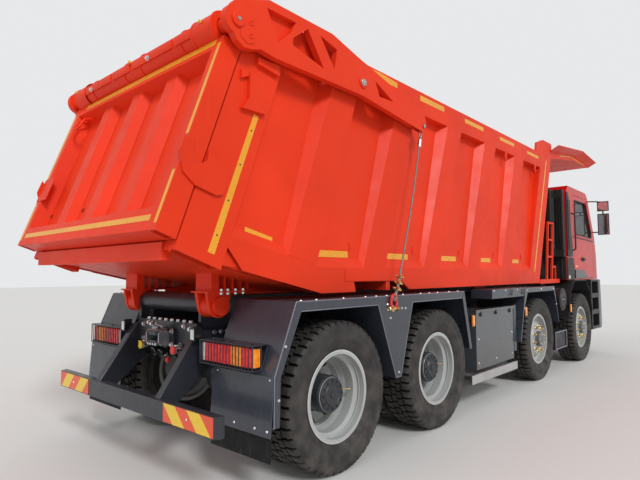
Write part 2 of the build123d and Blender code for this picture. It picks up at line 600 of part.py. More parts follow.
# Floor with its upswept tail, the tail beam, cross bearers, long beams and hinge lugs
floor_z = BED_LOW + FLOOR_ABOVE
FLOOR_END_X = -4195
POST_INNER = SIDE_Y - POST_DEPTH - 2
STRIP_INNER = SIDE_Y - SKIN - 0.5
front_floor_x = lean_x(FRONT_X, BED_LOW, floor_z) - 12
UNDER_Z = BED_LOW + 6
FLANGE_LOW = 1262
LUG_WALLS = ((452, 480), (575, 603))
with BuildPart() as bed_floor:
    side_plate([(front_floor_x, floor_z), (front_floor_x, floor_z + FLOOR_THICK),
                (KNEE_X, floor_z + FLOOR_THICK), (KNEE_X, floor_z)], -FLOOR_HALF, FLOOR_HALF)
    side_plate([(KNEE_X, floor_z), (KNEE_X, floor_z + FLOOR_THICK),
                (FLOOR_END_X, tail_z(FLOOR_END_X, floor_z + FLOOR_THICK)),
                (FLOOR_END_X, tail_z(FLOOR_END_X, floor_z))], -POST_INNER, POST_INNER)
    side_plate([(KNEE_X, floor_z), (KNEE_X, floor_z + FLOOR_THICK),
                (-3850, tail_z(-3850, floor_z + FLOOR_THICK)),
                (-3850, tail_z(-3850, floor_z))], -FLOOR_HALF + 8, FLOOR_HALF - 8)
    side_plate([(KNEE_X + 40, UNDER_Z), (KNEE_X + 40, UNDER_Z + 6), (KNEE_X, UNDER_Z + 6),
                (FLOOR_END_X, tail_z(FLOOR_END_X, UNDER_Z + 6)),
                (FLOOR_END_X, tail_z(FLOOR_END_X, UNDER_Z)), (KNEE_X, UNDER_Z)],
               -POST_INNER, POST_INNER)
    side_plate([(-4250, 1473), (-4250, 1578), (-4232, 1583), (-4190, 1583), (-4190, 1473)],
               -POST_INNER, POST_INNER)
    for x in range(-2680, 1500, 500):
        block(x, x + 60, -STRIP_INNER, STRIP_INNER, BED_LOW + 2, floor_z + 2)
    for side in (1, -1):
        y_low, y_high = sorted((side * 335, side * 425))
        side_plate([(1480, floor_z + 2), (1480, BED_LOW - 15), (-3400, BED_LOW - 15),
                    (-3400, FLANGE_LOW), (KNEE_X - 60, floor_z + 2)], y_low, y_high)
        y_low, y_high = sorted((side * 421, side * 625))
        side_plate([(-3700, FLANGE_LOW), (-3700, FLANGE_LOW + 11), (-3324, FLANGE_LOW + 11),
                    (-3324, FLANGE_LOW)], y_low, y_high)
        y_low, y_high = sorted((side * 425, side * 613))
        for x, width in ((-3662, 66), (-3550, 14), (-3480, 14), (-3410, 14), (-3340, 14)):
            side_plate([(x, FLANGE_LOW + 5), (x + width, FLANGE_LOW + 5),
                        (x + width, tail_z(x + width, UNDER_Z + 3)),
                        (x, tail_z(x, UNDER_Z + 3))], y_low, y_high)
        for y_in, y_out in LUG_WALLS:
            y_low, y_high = sorted((side * y_in, side * y_out))
            side_plate([(HINGE_X - 84, HINGE_Z), (-3682, 1222), (-3690, FLANGE_LOW + 2),
                        (-3480, FLANGE_LOW + 2), (-3488, 1222), (HINGE_X + 84, HINGE_Z)],
                       y_low, y_high)
            side_disc(HINGE_X, HINGE_Z, 84, y_low, y_high)
        y_low, y_high = sorted((side * 478, side * 640))
        side_disc(HINGE_X, HINGE_Z, 66, y_low, y_high)
        y_low, y_high = sorted((side * 478, side * 577))
        side_disc(HINGE_X, HINGE_Z, 78, y_low, y_high)
        y_low, y_high = sorted((side * 442, side * (PIN_END + 4)))
        side_disc(HINGE_X, HINGE_Z, HINGE_PIN_R + 0.5, y_low, y_high, Mode.SUBTRACT)
        y_low, y_high = sorted((side * 820, side * 870))
        side_plate([(-150, BED_LOW + 30), (350, BED_LOW + 30), (350, BED_LOW + 6),
                    (255, BED_LOW + 6), (165, 1150), (20, 1150), (-95, BED_LOW + 6),
                    (-150, BED_LOW + 6)], y_low, y_high)
save(bed_floor, "bed_floor")

# Front wall, its stiffeners, the hoist bracket and the head plate above it
EYE_PLATE_IN = 62
EYE_PLATE_OUT = 84
HEAD_Z = 3180
with BuildPart() as bed_front_wall:
    inner = SKIN_TOP_Y - SKIN - 1
    side_plate([(lean_x(FRONT_X, BED_LOW, floor_z) - 11, floor_z),
                (lean_x(FRONT_X, BED_LOW, floor_z), floor_z),
                (lean_x(FRONT_X, BED_LOW, HEAD_Z), HEAD_Z),
                (lean_x(FRONT_X, BED_LOW, HEAD_Z) - 11, HEAD_Z)], -inner, inner)
    for z in (1700, 2150):
        x = lean_x(FRONT_X, BED_LOW, z)
        side_plate([(x - 2, z - 60), (x + 22, z - 30), (x + 42, z + 30), (x + 20, z + 60)],
                   -inner, inner)
    for side in (1, -1):
        y_low, y_high = sorted((side * EYE_PLATE_IN, side * EYE_PLATE_OUT))
        side_plate([(lean_x(FRONT_X, BED_LOW, 2420) - 2, 2420), (HOIST_EYE_X + 55, 2510),
                    (HOIST_EYE_X + 55, 2620), (lean_x(FRONT_X, BED_LOW, 2760) - 2, 2760)],
                   y_low, y_high)
        side_disc(HOIST_EYE_X, HOIST_EYE_Z, 31, y_low, y_high, Mode.SUBTRACT)
save(bed_front_wall, "bed_front_wall")

# Canopy over the cab: a pan between two tapered side beams, with flared edges
CANOPY_BEND = (3581, 3388)
CANOPY_TIP = (4367, 3326)
CANOPY_ROOT = (2420, 3262)
FLARE_Y = 1200
FLARE_RISE = 75
with BuildPart() as bed_canopy:
    side_plate([(2268, HEAD_Z), (2292, HEAD_Z), CANOPY_ROOT, CANOPY_BEND, CANOPY_TIP,
                (CANOPY_TIP[0], CANOPY_TIP[1] + 8), (CANOPY_BEND[0], CANOPY_BEND[1] + 8),
                (CANOPY_ROOT[0], CANOPY_ROOT[1] + 8), (2285, HEAD_Z + 10),
                (2268, HEAD_Z + 10)],
               -SIDE_Y + 15, SIDE_Y - 15)
    for side in (1, -1):
        y_low, y_high = sorted((side * (SIDE_Y - 20), side * SIDE_Y))
        side_plate([(2260, RAIL_UPPER + 2), (2300, RAIL_UPPER + 2), (3437, 3311),
                    (CANOPY_TIP[0], 3322), (CANOPY_TIP[0], 3336), (CANOPY_BEND[0], 3398),
                    (2427, 3274), (2260, 3240)], y_low, y_high)
        y_low, y_high = sorted((side * (SIDE_Y - 32), side * SIDE_Y))
        side_plate([(1650, RAIL_UPPER + 1), (1680, 3283), (1946, 3369), (2290, 3376),
                    (2329, 3340), (2290, 3200), (2277, RAIL_UPPER + 1)], y_low, y_high)
        for start, end in (((2240, 3242), CANOPY_BEND), (CANOPY_BEND, (4400, 3323))):
            with BuildSketch(Plane.YZ.offset(start[0])) as flare:
                with BuildLine():
                    Polyline((side * (SIDE_Y - 10), start[1]),
                             (side * FLARE_Y, start[1] + FLARE_RISE),
                             (side * FLARE_Y, start[1] + FLARE_RISE + 9),
                             (side * (SIDE_Y - 10), start[1] + 9), close=True)
                make_face()
            run = hypot(end[0] - start[0], end[1] - start[1])
            extrude(flare.sketch, amount=run,
                    dir=((end[0] - start[0]) / run, 0, (end[1] - start[1]) / run))
save(bed_canopy, "bed_canopy")

# Ladder at the front right of the bed, set out from its base bar
LADDER_LEAN = tan(radians(8.3))
with BuildPart() as bed_ladder:
    side_plate([(front_foot_x - 40, 1240), (2490, 1240), (2490, 1300), (1640, 1300)],
               -SIDE_Y, -SIDE_Y + 28)
    block(1500, 1700, -SIDE_Y + SKIN, -SIDE_Y + 28, 1250, 1300)
    for x in (1925, 2147):
        side_plate([(x, 1298), (x + 32, 1298), (x + 32 + 860 * LADDER_LEAN, 2158),
                    (x + 860 * LADDER_LEAN, 2158)], -SIDE_Y, -SIDE_Y + 26)
    for z in (1632, 1886, 2140):
        x = 1925 + (z - 1298) * LADDER_LEAN
        block(x + 4, x + 250, -SIDE_Y + 2, -SIDE_Y + 24, z - 13, z + 13)
    block(2200, 2350, -SIDE_Y + 4, -SIDE_Y + 22, 1470, 1500)
    block(2330, 2350, -SIDE_Y + 4, -SIDE_Y + 22, 1298, 1500)
save(bed_ladder, "bed_ladder")

# Tailgate in its own leaning plane: local x to the right, local y up, local z rearward
gate_low_x = GATE_REAR_X + GATE_DEPTH * cos(radians(LEAN))
gate_low_z = GATE_REAR_Z - GATE_DEPTH * sin(radians(LEAN))
gate_plane = Plane(origin=(gate_low_x, 0, gate_low_z), x_dir=(0, -1, 0),
                   z_dir=(-cos(radians(LEAN)), 0, sin(radians(LEAN))))
RECESS_LOW = 145
RECESS_HIGH = 1237
RECESS_HALF = 985
RECESS_DEPTH = 110
RECESS_MID = (RECESS_LOW + RECESS_HIGH) / 2
HOOK = [(-4192, 2194), (-4231, 2093), (-4206, 1974), (-4128, 1907), (-3977, 1862),
        (-3930, 1872), (-3911, 1908), (-3868, 2052), (-4030, 2120), (-4045, 2062),
        (-4080, 2040), (-4112, 2052), (-4161, 2148)]
with BuildPart() as tailgate:
    with BuildSketch(gate_plane) as panel:
        with Locations((0, GATE_HEIGHT / 2)):
            Rectangle(2 * GATE_HALF, GATE_HEIGHT)
    extrude(panel.sketch, amount=GATE_DEPTH)
    with BuildSketch(gate_plane.offset(GATE_DEPTH)) as recess:
        with Locations((0, RECESS_MID)):
            Rectangle(2 * RECESS_HALF, RECESS_HIGH - RECESS_LOW)
    extrude(recess.sketch, amount=-RECESS_DEPTH, taper=15, mode=Mode.SUBTRACT)
    for y in (-480, 0, 480):
        with BuildSketch(gate_plane.offset(GATE_DEPTH - RECESS_DEPTH - 1)) as rib:
            with Locations((y, RECESS_MID)):
                Rectangle(235, RECESS_HIGH - RECESS_LOW + 98)
        extrude(rib.sketch, amount=RECESS_DEPTH - 44, taper=38)
    # The side frames are box sections, open at the foot
    with BuildSketch(gate_plane.offset(14)) as frame_hollow:
        with Locations((-RECESS_HALF - 45, 45), (RECESS_HALF + 45, 45)):
            Rectangle(62, 110)
    extrude(frame_hollow.sketch, amount=GATE_DEPTH - 28, mode=Mode.SUBTRACT)
    # Hinge tube on a ledge along the top, with a thicker sleeve near each arm
    with BuildSketch(gate_plane.offset(55)) as ledge:
        with Locations((0, GATE_HEIGHT + 40)):
            Rectangle(2000, 90)
    extrude(ledge.sketch, amount=74)
    side_disc(GATE_SHAFT_X, GATE_SHAFT_Z, GATE_TUBE_R, -1000, 1000)
    for side in (1, -1):
        y_low, y_high = sorted((side * 790, side * 1020))
        side_disc(GATE_SHAFT_X, GATE_SHAFT_Z, GATE_TUBE_R + 9, y_low, y_high)
    side_disc(GATE_SHAFT_X, GATE_SHAFT_Z, 56, -1030, 1030, Mode.SUBTRACT)
    for side in (1, -1):
        y_low, y_high = sorted((side * (GATE_HALF - 1), side * (GATE_HALF + 14)))
        side_plate(HOOK, y_low, y_high)
save(tailgate, "tailgate")

# Lifting arms joined by the cross shaft that carries the gate
ARM_OUTLINE = [(-3930, 2900), (-3945, 3020), (-3900, 3080), (-3620, 3190), (-2980, 3190),
               (-2680, 3115), (-1660, 2890), (-1620, 2820), (-1640, 2740), (-1700, 2715),
               (-2610, 2815), (-3560, 2815), (-3690, 2832), (-3760, 2808),
               (-3830, 2800), (-3885, 2832)]
ARM_POCKETS = ([(-3640, 3130), (-3370, 3130), (-3420, 3040), (-3540, 2930)],
               [(-3250, 3130), (-3400, 3010), (-3400, 2960), (-3080, 2890)],
               [(-3120, 3130), (-2930, 3085), (-2960, 2925)],
               [(-2440, 2985), (-2175, 2875), (-2380, 2868)])
FORK_START = -1860
with BuildPart() as gate_arms:
    side_disc(GATE_SHAFT_X, GATE_SHAFT_Z, 50, -ARM_OUT, ARM_OUT)
    for side in (1, -1):
        y_low, y_high = sorted((side * ARM_IN, side * ARM_OUT))
        side_plate(ARM_OUTLINE, y_low, y_high)
        side_disc(GATE_SHAFT_X, GATE_SHAFT_Z, 95, y_low, y_high)
        y_low, y_high = sorted((side * (ARM_IN - 5), side * (ARM_OUT + 5)))
        for pocket in ARM_POCKETS:
            side_plate(pocket, y_low, y_high, Mode.SUBTRACT)
        side_disc(ARM_PIVOT_X, ARM_PIVOT_Z, 30.5, y_low, y_high, Mode.SUBTRACT)
        side_disc(ARM_TIP_X, ARM_TIP_Z + 25, 16, y_low, y_high, Mode.SUBTRACT)
        y_low, y_high = sorted((side * (ARM_IN + 6), side * (ARM_OUT - 6)))
        block(FORK_START, -1500, y_low, y_high, 2600, 3000, Mode.SUBTRACT)
save(gate_arms, "gate_arms")

# Wire ropes from the arms' tips down and outward to the chassis, a little slack
rope_run = Vector(ARM_TIP_X - ROPE_FOOT_X, 0, ARM_TIP_Z - ROPE_FOOT_Z)
rope_forward = Vector(rope_run.Z, 0, -rope_run.X).normalized()
with BuildPart() as gate_ropes:
    for side in (1, -1):
        foot = Vector(ROPE_FOOT_X, side * ROPE_FOOT_Y, ROPE_FOOT_Z)
        tip = Vector(ARM_TIP_X, side * ROPE_TIP_Y, ARM_TIP_Z)
        low = foot + (tip - foot) * 0.02
        high = foot + (tip - foot) * 0.98
        with BuildLine() as rope_line:
            ThreePointArc(low, (low + high) / 2 + rope_forward * ROPE_BOW, high)
        with BuildSketch(Plane(origin=low, z_dir=rope_line.line % 0)) as rope:
            Circle(ROPE_R)
        sweep(rope.sketch, path=rope_line.line)
save(gate_ropes, "gate_ropes")

# Telescopic hoist: trunnioned tube and four stages
hoist_plane = Plane(origin=(HOIST_X, 0, HOIST_Z), x_dir=(0, 1, 0),
                    z_dir=(sin(radians(HOIST_LEAN)), 0, cos(radians(HOIST_LEAN))))
STAGE_RADII = (92, 78, 64, 50)
TUBE_TOP = 1440
TUBE_R = 108
with BuildPart() as hoist_tube:
    with BuildSketch(hoist_plane.offset(-55)) as tube:
        Circle(TUBE_R)
    extrude(tube.sketch, amount=TUBE_TOP + 55)
    with BuildSketch(hoist_plane.offset(-20)) as bore:
        Circle(STAGE_RADII[0] + 1)
    extrude(bore.sketch, amount=TUBE_TOP + 100, mode=Mode.SUBTRACT)
    for side in (1, -1):
        y_low, y_high = sorted((side * 98, side * 198))
        side_disc(HOIST_X, HOIST_Z, 40, y_low, y_high)
save(hoist_tube, "hoist_tube")

for number, radius in enumerate(STAGE_RADII, 1):
    with BuildPart() as stage:
        low = -15 + number * 8
        high = TUBE_TOP + 20 * number
        with BuildSketch(hoist_plane.offset(low)) as outer:
            Circle(radius)
        extrude(outer.sketch, amount=high - low)
        if number < len(STAGE_RADII):
            with BuildSketch(hoist_plane.offset(low)) as bore:
                Circle(STAGE_RADII[number] + 1)
            extrude(bore.sketch, amount=high - low, mode=Mode.SUBTRACT)
        else:
            side_disc(HOIST_EYE_X, HOIST_EYE_Z, 55, -50, 50)
            with BuildSketch(hoist_plane.offset(high - 5)) as neck:
                Circle(38)
            extrude(neck.sketch, amount=HOIST_LENGTH - high)
    save(stage, f"hoist_stage_{number}")

# Cab shell: hollow, with door, windscreen and rear window openings
CAB_SIDE = [(2620, CAB_LOW), (2660, 2640), (2780, 2780), (3800, 2770), (3900, 2700),
            (4270, 2030), (4345, 1700), (4360, CAB_LOW)]
CAB_INNER = [(2620 + CAB_WALL, CAB_LOW + CAB_WALL), (2660 + CAB_WALL, 2640),
             (2790, 2780 - CAB_WALL), (3790, 2770 - CAB_WALL), (3862, 2675),
             (4225, 2020), (4299, 1695), (4314, CAB_LOW + CAB_WALL)]
DOOR_OUTLINE = [(DOOR_REAR_X, 1300), (DOOR_REAR_X + 20, 2660), (3800, 2660), (3860, 2600),
                (DOOR_FRONT_X, 2080), (DOOR_FRONT_X, 1300)]
WINDOW_OUTLINE = [(DOOR_REAR_X + 90, 2020), (DOOR_REAR_X + 100, 2590), (3770, 2590),
                  (4060, 2090), (4060, 1990)]
with BuildPart() as cab_shell:
    side_plate(CAB_SIDE, -CAB_HALF, CAB_HALF)
    side_plate(CAB_INNER, -CAB_HALF + CAB_WALL, CAB_HALF - CAB_WALL, Mode.SUBTRACT)
    side_plate(DOOR_OUTLINE, -CAB_HALF - 10, CAB_HALF + 10, Mode.SUBTRACT)
    with BuildSketch(Plane.YZ.offset(4500)) as screen:
        with Locations((0, 2350)):
            Rectangle(2 * CAB_HALF - 260, 560)
    extrude(screen.sketch, amount=-900, mode=Mode.SUBTRACT)
    with BuildSketch(Plane.YZ.offset(2500)) as back_light:
        with Locations((0, 2250)):
            RectangleRounded(1100, 420, 60)
    extrude(back_light.sketch, amount=300, mode=Mode.SUBTRACT)
save(cab_shell, "cab_shell")

# Fixed glass: windscreen and rear window
with BuildPart() as cab_glass:
    side_plate([(3920, 2620), (3928, 2624), (4222, 2084), (4214, 2080)],
               -CAB_HALF + 134, CAB_HALF - 134)
    with BuildSketch(Plane.YZ.offset(2662)) as rear_glass:
        with Locations((0, 2250)):
            RectangleRounded(1092, 412, 56)
    extrude(rear_glass.sketch, amount=6)
save(cab_glass, "cab_glass")

for side_name, side in SIDES.items():
    with BuildPart() as door:
        y_low, y_high = sorted((side * (CAB_HALF - CAB_WALL), side * CAB_HALF))
        extrude(offset(side_face(DOOR_OUTLINE, y_high), amount=-DOOR_GAP, mode=Mode.PRIVATE),
                amount=y_high - y_low)
        side_plate(WINDOW_OUTLINE, y_low - 5, y_high + 5, Mode.SUBTRACT)
    save(door, f"door_{side_name}")
    with BuildPart() as door_glass:
        y_low, y_high = sorted((side * (CAB_HALF - 26), side * (CAB_HALF - 20)))
        side_plate(WINDOW_OUTLINE, y_low, y_high)
    save(door_glass, f"door_glass_{side_name}")

# Seats and dashboard
with BuildPart() as seats:
    for side in (1, -1):
        y_low, y_high = sorted((side * 330, side * 830))
        block(3050, 3560, y_low, y_high, 1640, 1780)
        side_plate([(2920, 1700), (3060, 1700), (3000, 2420), (2880, 2420)], y_low, y_high)
        y_low, y_high = sorted((side * 480, side * 680))
        block(3150, 3460, y_low, y_high, CAB_LOW + CAB_WALL, 1645)
save(seats, "seats")

with BuildPart() as dashboard:
    side_plate([(3980, 1500), (3940, 1850), (4020, 1950), (4200, 1950), (4280, 1660),
                (4280, 1500)], -1090, 1090)
    wheel_plane_cab = Plane(origin=(3800, 560, 1960), x_dir=(0, 1, 0),
                            z_dir=(-cos(radians(60)), 0, sin(radians(60))))
    with BuildSketch(wheel_plane_cab) as column:
        Circle(28)
    extrude(column.sketch, amount=-260)
    with BuildSketch(wheel_plane_cab) as ring:
        Circle(225)
        Circle(195, mode=Mode.SUBTRACT)
        Rectangle(400, 40)
    extrude(ring.sketch, amount=26)
save(dashboard, "dashboard")

# Bumper with the lower front panel, steps and wheel arches under the cab
with BuildPart() as bumper:
    side_plate([(FRAME_FRONT, 420), (FRAME_FRONT, 1270), (4345, 1270), (4367, 900),
                (4367, 480), (4327, 420)], -1200, 1200)
save(bumper, "bumper")

with BuildPart() as cab_steps:
    for side in (1, -1):
        y_low, y_high = sorted((side * 900, side * 1200))
        side_plate([(3740, 430), (3740, 1275), (4230, 1275), (4230, 430)], y_low, y_high)
        y_low, y_high = sorted((side * 960, side * 1210))
        for z in (480, 760, 1040):
            block(3790, 4180, y_low, y_high, z, z + 200, Mode.SUBTRACT)
        y_low, y_high = sorted((side * 870, side * 1210))
        side_plate([(2410, 700), (2530, 1100), (2740, 1270), (3420, 1270), (3620, 1100),
                    (3740, 760), (3732, 755), (3614, 1092), (3416, 1262), (2744, 1262),
                    (2538, 1096), (2419, 700)], y_low, y_high)
save(cab_steps, "cab_steps")

with BuildPart() as mirrors:
    for side in (1, -1):
        y_low, y_high = sorted((side * 1230, side * 1420))
        block(4200, 4270, y_low, y_high, 2060, 2440)
        block(4200, 4270, y_low, y_high, 2480, 2660)
        y_low, y_high = sorted((side * CAB_HALF, side * 1340))
        block(4200, 4230, y_low, y_high, 2100, 2124)
        y_low, y_high = sorted((side * 1300, side * 1330))
        block(4225, 4245, y_low, y_high, 2430, 2490)
save(mirrors, "mirrors")

# Air intake behind the cab: louvred box, duct and the filter canister below it
with BuildPart() as air_intake:
    block(2300, 2600, -1020, -640, 1650, 2690)
    block(2515, 2612, -1140, -1015, 1640, 2690)
    block(2300, 2480, -860, -700, 1100, 1655)
    block(2590, 2626, -900, -800, 1700, 1760)
    block(2590, 2652, -900, -800, 2500, 2560)
    side_disc(2222, 1001, 160, -1190, -780)
    block(2190, 2260, -790, -RAIL_OUT, 940, 1010)
save(air_intake, "air_intake")
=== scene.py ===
"""Looks of a four-axle dump truck round its frame: finishes, tyres, lamps, ropes, trim."""
import json
import math

import bmesh
import bpy
from mathutils import Matrix, Vector


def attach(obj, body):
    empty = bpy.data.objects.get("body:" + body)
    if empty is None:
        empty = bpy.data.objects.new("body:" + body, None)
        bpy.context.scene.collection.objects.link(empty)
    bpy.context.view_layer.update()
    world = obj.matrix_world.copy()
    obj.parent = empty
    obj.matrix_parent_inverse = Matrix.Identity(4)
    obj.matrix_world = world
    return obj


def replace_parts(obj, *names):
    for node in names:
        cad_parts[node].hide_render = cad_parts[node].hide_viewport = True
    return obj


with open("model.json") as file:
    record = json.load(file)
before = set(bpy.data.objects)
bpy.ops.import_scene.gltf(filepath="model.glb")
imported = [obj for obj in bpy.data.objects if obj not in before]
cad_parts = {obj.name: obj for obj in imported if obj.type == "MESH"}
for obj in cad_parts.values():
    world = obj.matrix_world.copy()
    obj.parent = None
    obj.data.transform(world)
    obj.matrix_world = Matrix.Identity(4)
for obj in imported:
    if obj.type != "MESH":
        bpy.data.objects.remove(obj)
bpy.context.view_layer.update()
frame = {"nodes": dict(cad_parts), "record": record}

SIDES = {"left": 1, "right": -1}
BOTH = (1, -1)
MM = 0.001

# Places that the truck's frame gives, in millimetres
STEER_AXLES = {"front": 3080, "second": 1130}
DRIVE_AXLES = {"third": -1600, "rear": -3000}
WHEEL_Z = 530
TYRE_RADIUS = 530
STEER_Y = 1075
DUAL_IN_Y = 745
DUAL_OUT_Y = 1095
DUAL_DISC_Y = 920
LEAN = math.radians(20)
TAIL_RISE = math.tan(math.radians(12.5))
KNEE_X = -3018
FLOOR_TOP = 1342
SIDE_FACE_Y = 1070
GATE_REAR_X = -4367
GATE_REAR_Z = 1636
GATE_SHAFT = (-3880, 2960)
ARM_PIVOT = (-2610, 2920)
ARM_TIP = (-1670, 2770)
ARM_IN = 1110
ARM_OUT = 1160
ROPE_FOOT = (-2369, 1270, 1165)
ROPE_TOP = (-1670, 1130, 2745)
ROPE_BOW = 35
PUFF = 0.022
FULL_TURN = 6.283


def shown(name, data):
    """A new object in the scene, at the origin."""
    made = bpy.data.objects.new(name, data)
    bpy.context.scene.collection.objects.link(made)
    return made


def fill(tree, socket, value):
    """Links a socket to another node's output, or sets the socket's own value."""
    if isinstance(value, bpy.types.NodeSocket):
        tree.links.new(value, socket)
    else:
        socket.default_value = value


def new_node(tree, kind, settings, inputs):
    """Adds a node to a tree; an input's name has low lines for its spaces."""
    made = tree.nodes.new(kind)
    for key, value in (settings or {}).items():
        setattr(made, key, value)
    for key, value in inputs.items():
        fill(tree, made.inputs[key.replace("_", " ")], value)
    return made


# Finishes

def shade(colour, part):
    return tuple(c * part for c in colour)


class Finish:
    """One procedural material: a principled shader and the nodes that feed it."""

    def __init__(self, name, roughness=0.5, metallic=0.0):
        self.material = bpy.data.materials.new(name)
        self.material.use_nodes = True
        self.tree = self.material.node_tree
        self.shader = self.tree.nodes["Principled BSDF"]
        self.set(Roughness=roughness, Metallic=metallic)
        self.place = self.node("TexCoord").outputs["Object"]

    def node(self, kind, settings=None, **inputs):
        return new_node(self.tree, "ShaderNode" + kind, settings, inputs)

    def set(self, **values):
        """Sets or feeds the shader's own sockets."""
        for key, value in values.items():
            fill(self.tree, self.shader.inputs[key.replace("_", " ")], value)
        return self.material

    def noise(self, scale, detail=3.0, stretch=None):
        """Noise over the object's own metres, stretched along an axis if asked."""
        vector = self.place
        if stretch:
            vector = self.node("Mapping", Vector=self.place, Scale=stretch).outputs["Vector"]
        return self.node("TexNoise", Vector=vector, Scale=scale, Detail=detail).outputs["Fac"]

    def cells(self, scale, feature="DISTANCE_TO_EDGE"):
        return self.node("TexVoronoi", {"feature": feature}, Vector=self.place,
                         Scale=scale).outputs["Distance"]

    def bands(self, direction, scale):
        return self.node("TexWave", {"bands_direction": direction}, Vector=self.place,
                         Scale=scale).outputs["Fac"]

    def span(self, value, low, high, to_low=0.0, to_high=1.0):
        """Maps a value from one span to another, clamped."""
        return self.node("MapRange", From_Min=low, From_Max=high, To_Min=to_low, To_Max=to_high,
                         Value=value).outputs["Result"]

    def vary(self, scale, detail=3.0, low=0.0, high=1.0, stretch=None):
        """Noise spread between two values."""
        return self.span(self.noise(scale, detail, stretch), 0.3, 0.7, low, high)

    def mix(self, factor, first, second):
        """Colour between first and second by factor."""
        made = self.node("Mix", {"data_type": "RGBA"})
        for number, value in ((0, factor), (6, first), (7, second)):
            fill(self.tree, made.inputs[number],
                 (*value, 1.0) if isinstance(value, tuple) else value)
        return made.outputs[2]

    def math(self, operation, first, second):
        made = self.node("Math", {"operation": operation})
        for socket, value in zip(made.inputs, (first, second)):
            fill(self.tree, socket, value)
        return made.outputs[0]

    def part(self, vector, letter):
        """One coordinate of a place or a direction."""
        return self.node("SeparateXYZ", Vector=vector).outputs[letter]

    def bump(self, height, distance, strength):
        made = self.node("Bump", Height=height, Distance=distance, Strength=strength)
        return self.set(Normal=made.outputs["Normal"])


def enamel(name, colour, roughness, coat, dust=0.12, worn=None, peel=0.5, shine=0.4):
    """Sprayed paint: slow colour drift, fine orange peel and a film of dust on top faces."""
    finish = Finish(name)
    darker = shade(colour, 0.84)
    drift = finish.vary(1.3, 4.0)
    base = finish.mix(drift, darker, colour)
    up = finish.part(finish.node("NewGeometry").outputs["Normal"], "Z")
    film = finish.math("MULTIPLY", finish.span(up, 0.2, 1.0),
                       finish.span(finish.noise(6.0, 5.0), 0.35, 0.75, 0.0, dust))
    base = finish.mix(film, base, (0.34, 0.31, 0.28))
    if worn:
        streaks = finish.span(finish.noise(7.0, 6.0, (6.0, 6.0, 0.5)), 0.60, 0.72)
        base = finish.mix(finish.math("MULTIPLY", streaks, 0.35), base, worn)
    finish.set(Base_Color=base,
               Roughness=finish.vary(9.0, 4.0, roughness - 0.06, roughness + 0.08),
               Coat_Weight=coat, Coat_Roughness=0.12, Specular_IOR_Level=shine)
    return finish.bump(finish.noise(230.0, 2.0), 0.0006, peel)


def moulded(name, colour, roughness, coat=0.0):
    """Moulded plastic or rubber with a fine grain."""
    finish = Finish(name)
    finish.set(Base_Color=finish.mix(finish.vary(4.0, 4.0), shade(colour, 0.8), colour),
               Roughness=finish.vary(14.0, 3.0, roughness - 0.07, roughness + 0.07),
               Coat_Weight=coat)
    return finish.bump(finish.noise(900.0, 2.0), 0.0004, 0.6)


def tyre_rubber(name):
    """Rubber greyed by dust on the sidewalls and brownish low down."""
    finish = Finish(name)
    dusty = finish.math("MULTIPLY",
                        finish.span(finish.part(finish.place, "Z"), 1.05, 0.1, 0.25, 0.85),
                        finish.span(finish.noise(9.0, 6.0), 0.38, 0.72))
    finish.set(Base_Color=finish.mix(dusty, (0.020, 0.019, 0.019), (0.098, 0.085, 0.076)),
               Roughness=finish.vary(22.0, 4.0, 0.55, 0.78))
    return finish.bump(finish.noise(320.0, 3.0), 0.0006, 0.7)


def flap_rubber(name):
    """Black sheet rubber with pale vertical scuffs."""
    finish = Finish(name)
    scuffs = finish.span(finish.noise(26.0, 5.0, (3.0, 3.0, 0.22)), 0.60, 0.74, 0.0, 0.55)
    finish.set(Base_Color=finish.mix(scuffs, (0.006, 0.006, 0.007), (0.07, 0.068, 0.062)),
               Roughness=finish.vary(14.0, 3.0, 0.55, 0.75), Specular_IOR_Level=0.3)
    return finish.bump(finish.noise(60.0, 3.0, (1.0, 1.0, 0.2)), 0.001, 0.5)


def metal(name, colour, roughness, metallic=1.0):
    """Bare or plated metal with fine scuffs along its length."""
    finish = Finish(name, metallic=metallic)
    finish.set(Base_Color=finish.mix(finish.vary(5.0, 4.0), shade(colour, 0.85), colour),
               Roughness=finish.vary(60.0, 4.0, max(roughness - 0.08, 0.03), roughness + 0.08,
                                     (0.15, 1.0, 1.0)))
    return finish.bump(finish.noise(400.0, 2.0), 0.0002, 0.4)


def tinted_glass(name):
    finish = Finish(name)
    return finish.set(Base_Color=(0.03, 0.035, 0.04, 1.0), Alpha=0.62, Coat_Weight=0.6,
                      Coat_Roughness=0.02, Roughness=finish.vary(3.0, 3.0, 0.02, 0.07))


def reflective_tape(name, colour):
    """Reflective film: fine honeycomb cells under a clear top layer."""
    finish = Finish(name)
    edge = finish.span(finish.cells(95.0), 0.02, 0.10)
    drift = finish.span(finish.noise(2.0, 3.0), 0.35, 0.65)
    lively = finish.mix(drift, shade(colour, 0.9), colour)
    finish.set(Base_Color=finish.mix(edge, shade(colour, 0.72), lively),
               Roughness=finish.vary(20.0, 3.0, 0.24, 0.40), Coat_Weight=0.3,
               Coat_Roughness=0.08)
    return finish.bump(edge, 0.0002, 0.4)


def lamp_lens(name, colour):
    """Lamp lens: vertical prism ribs, with painted reflections of the reflector behind as
    lighter and darker patches, and a faint painted glow.
    """
    finish = Finish(name)
    # Painted reflection: lighter and darker patches of the reflector behind the lens
    painted_glints = finish.span(finish.cells(26.0, "F1"), 0.1, 0.7)
    glint_colour = tuple(min(c * 1.2 + 0.03, 0.95) for c in colour)
    base = finish.mix(painted_glints, glint_colour, shade(colour, 0.7))
    prisms = finish.bands("Y", 70.0)
    # The faint emission is painted light, a glow that stands for light sent back by the
    # reflectors
    finish.set(Base_Color=base, Emission_Color=(*colour, 1.0), Emission_Strength=0.22,
               Roughness=finish.vary(30.0, 3.0, 0.08, 0.16), Coat_Weight=0.7,
               Coat_Roughness=0.04)
    return finish.bump(prisms, 0.0012, 0.7)


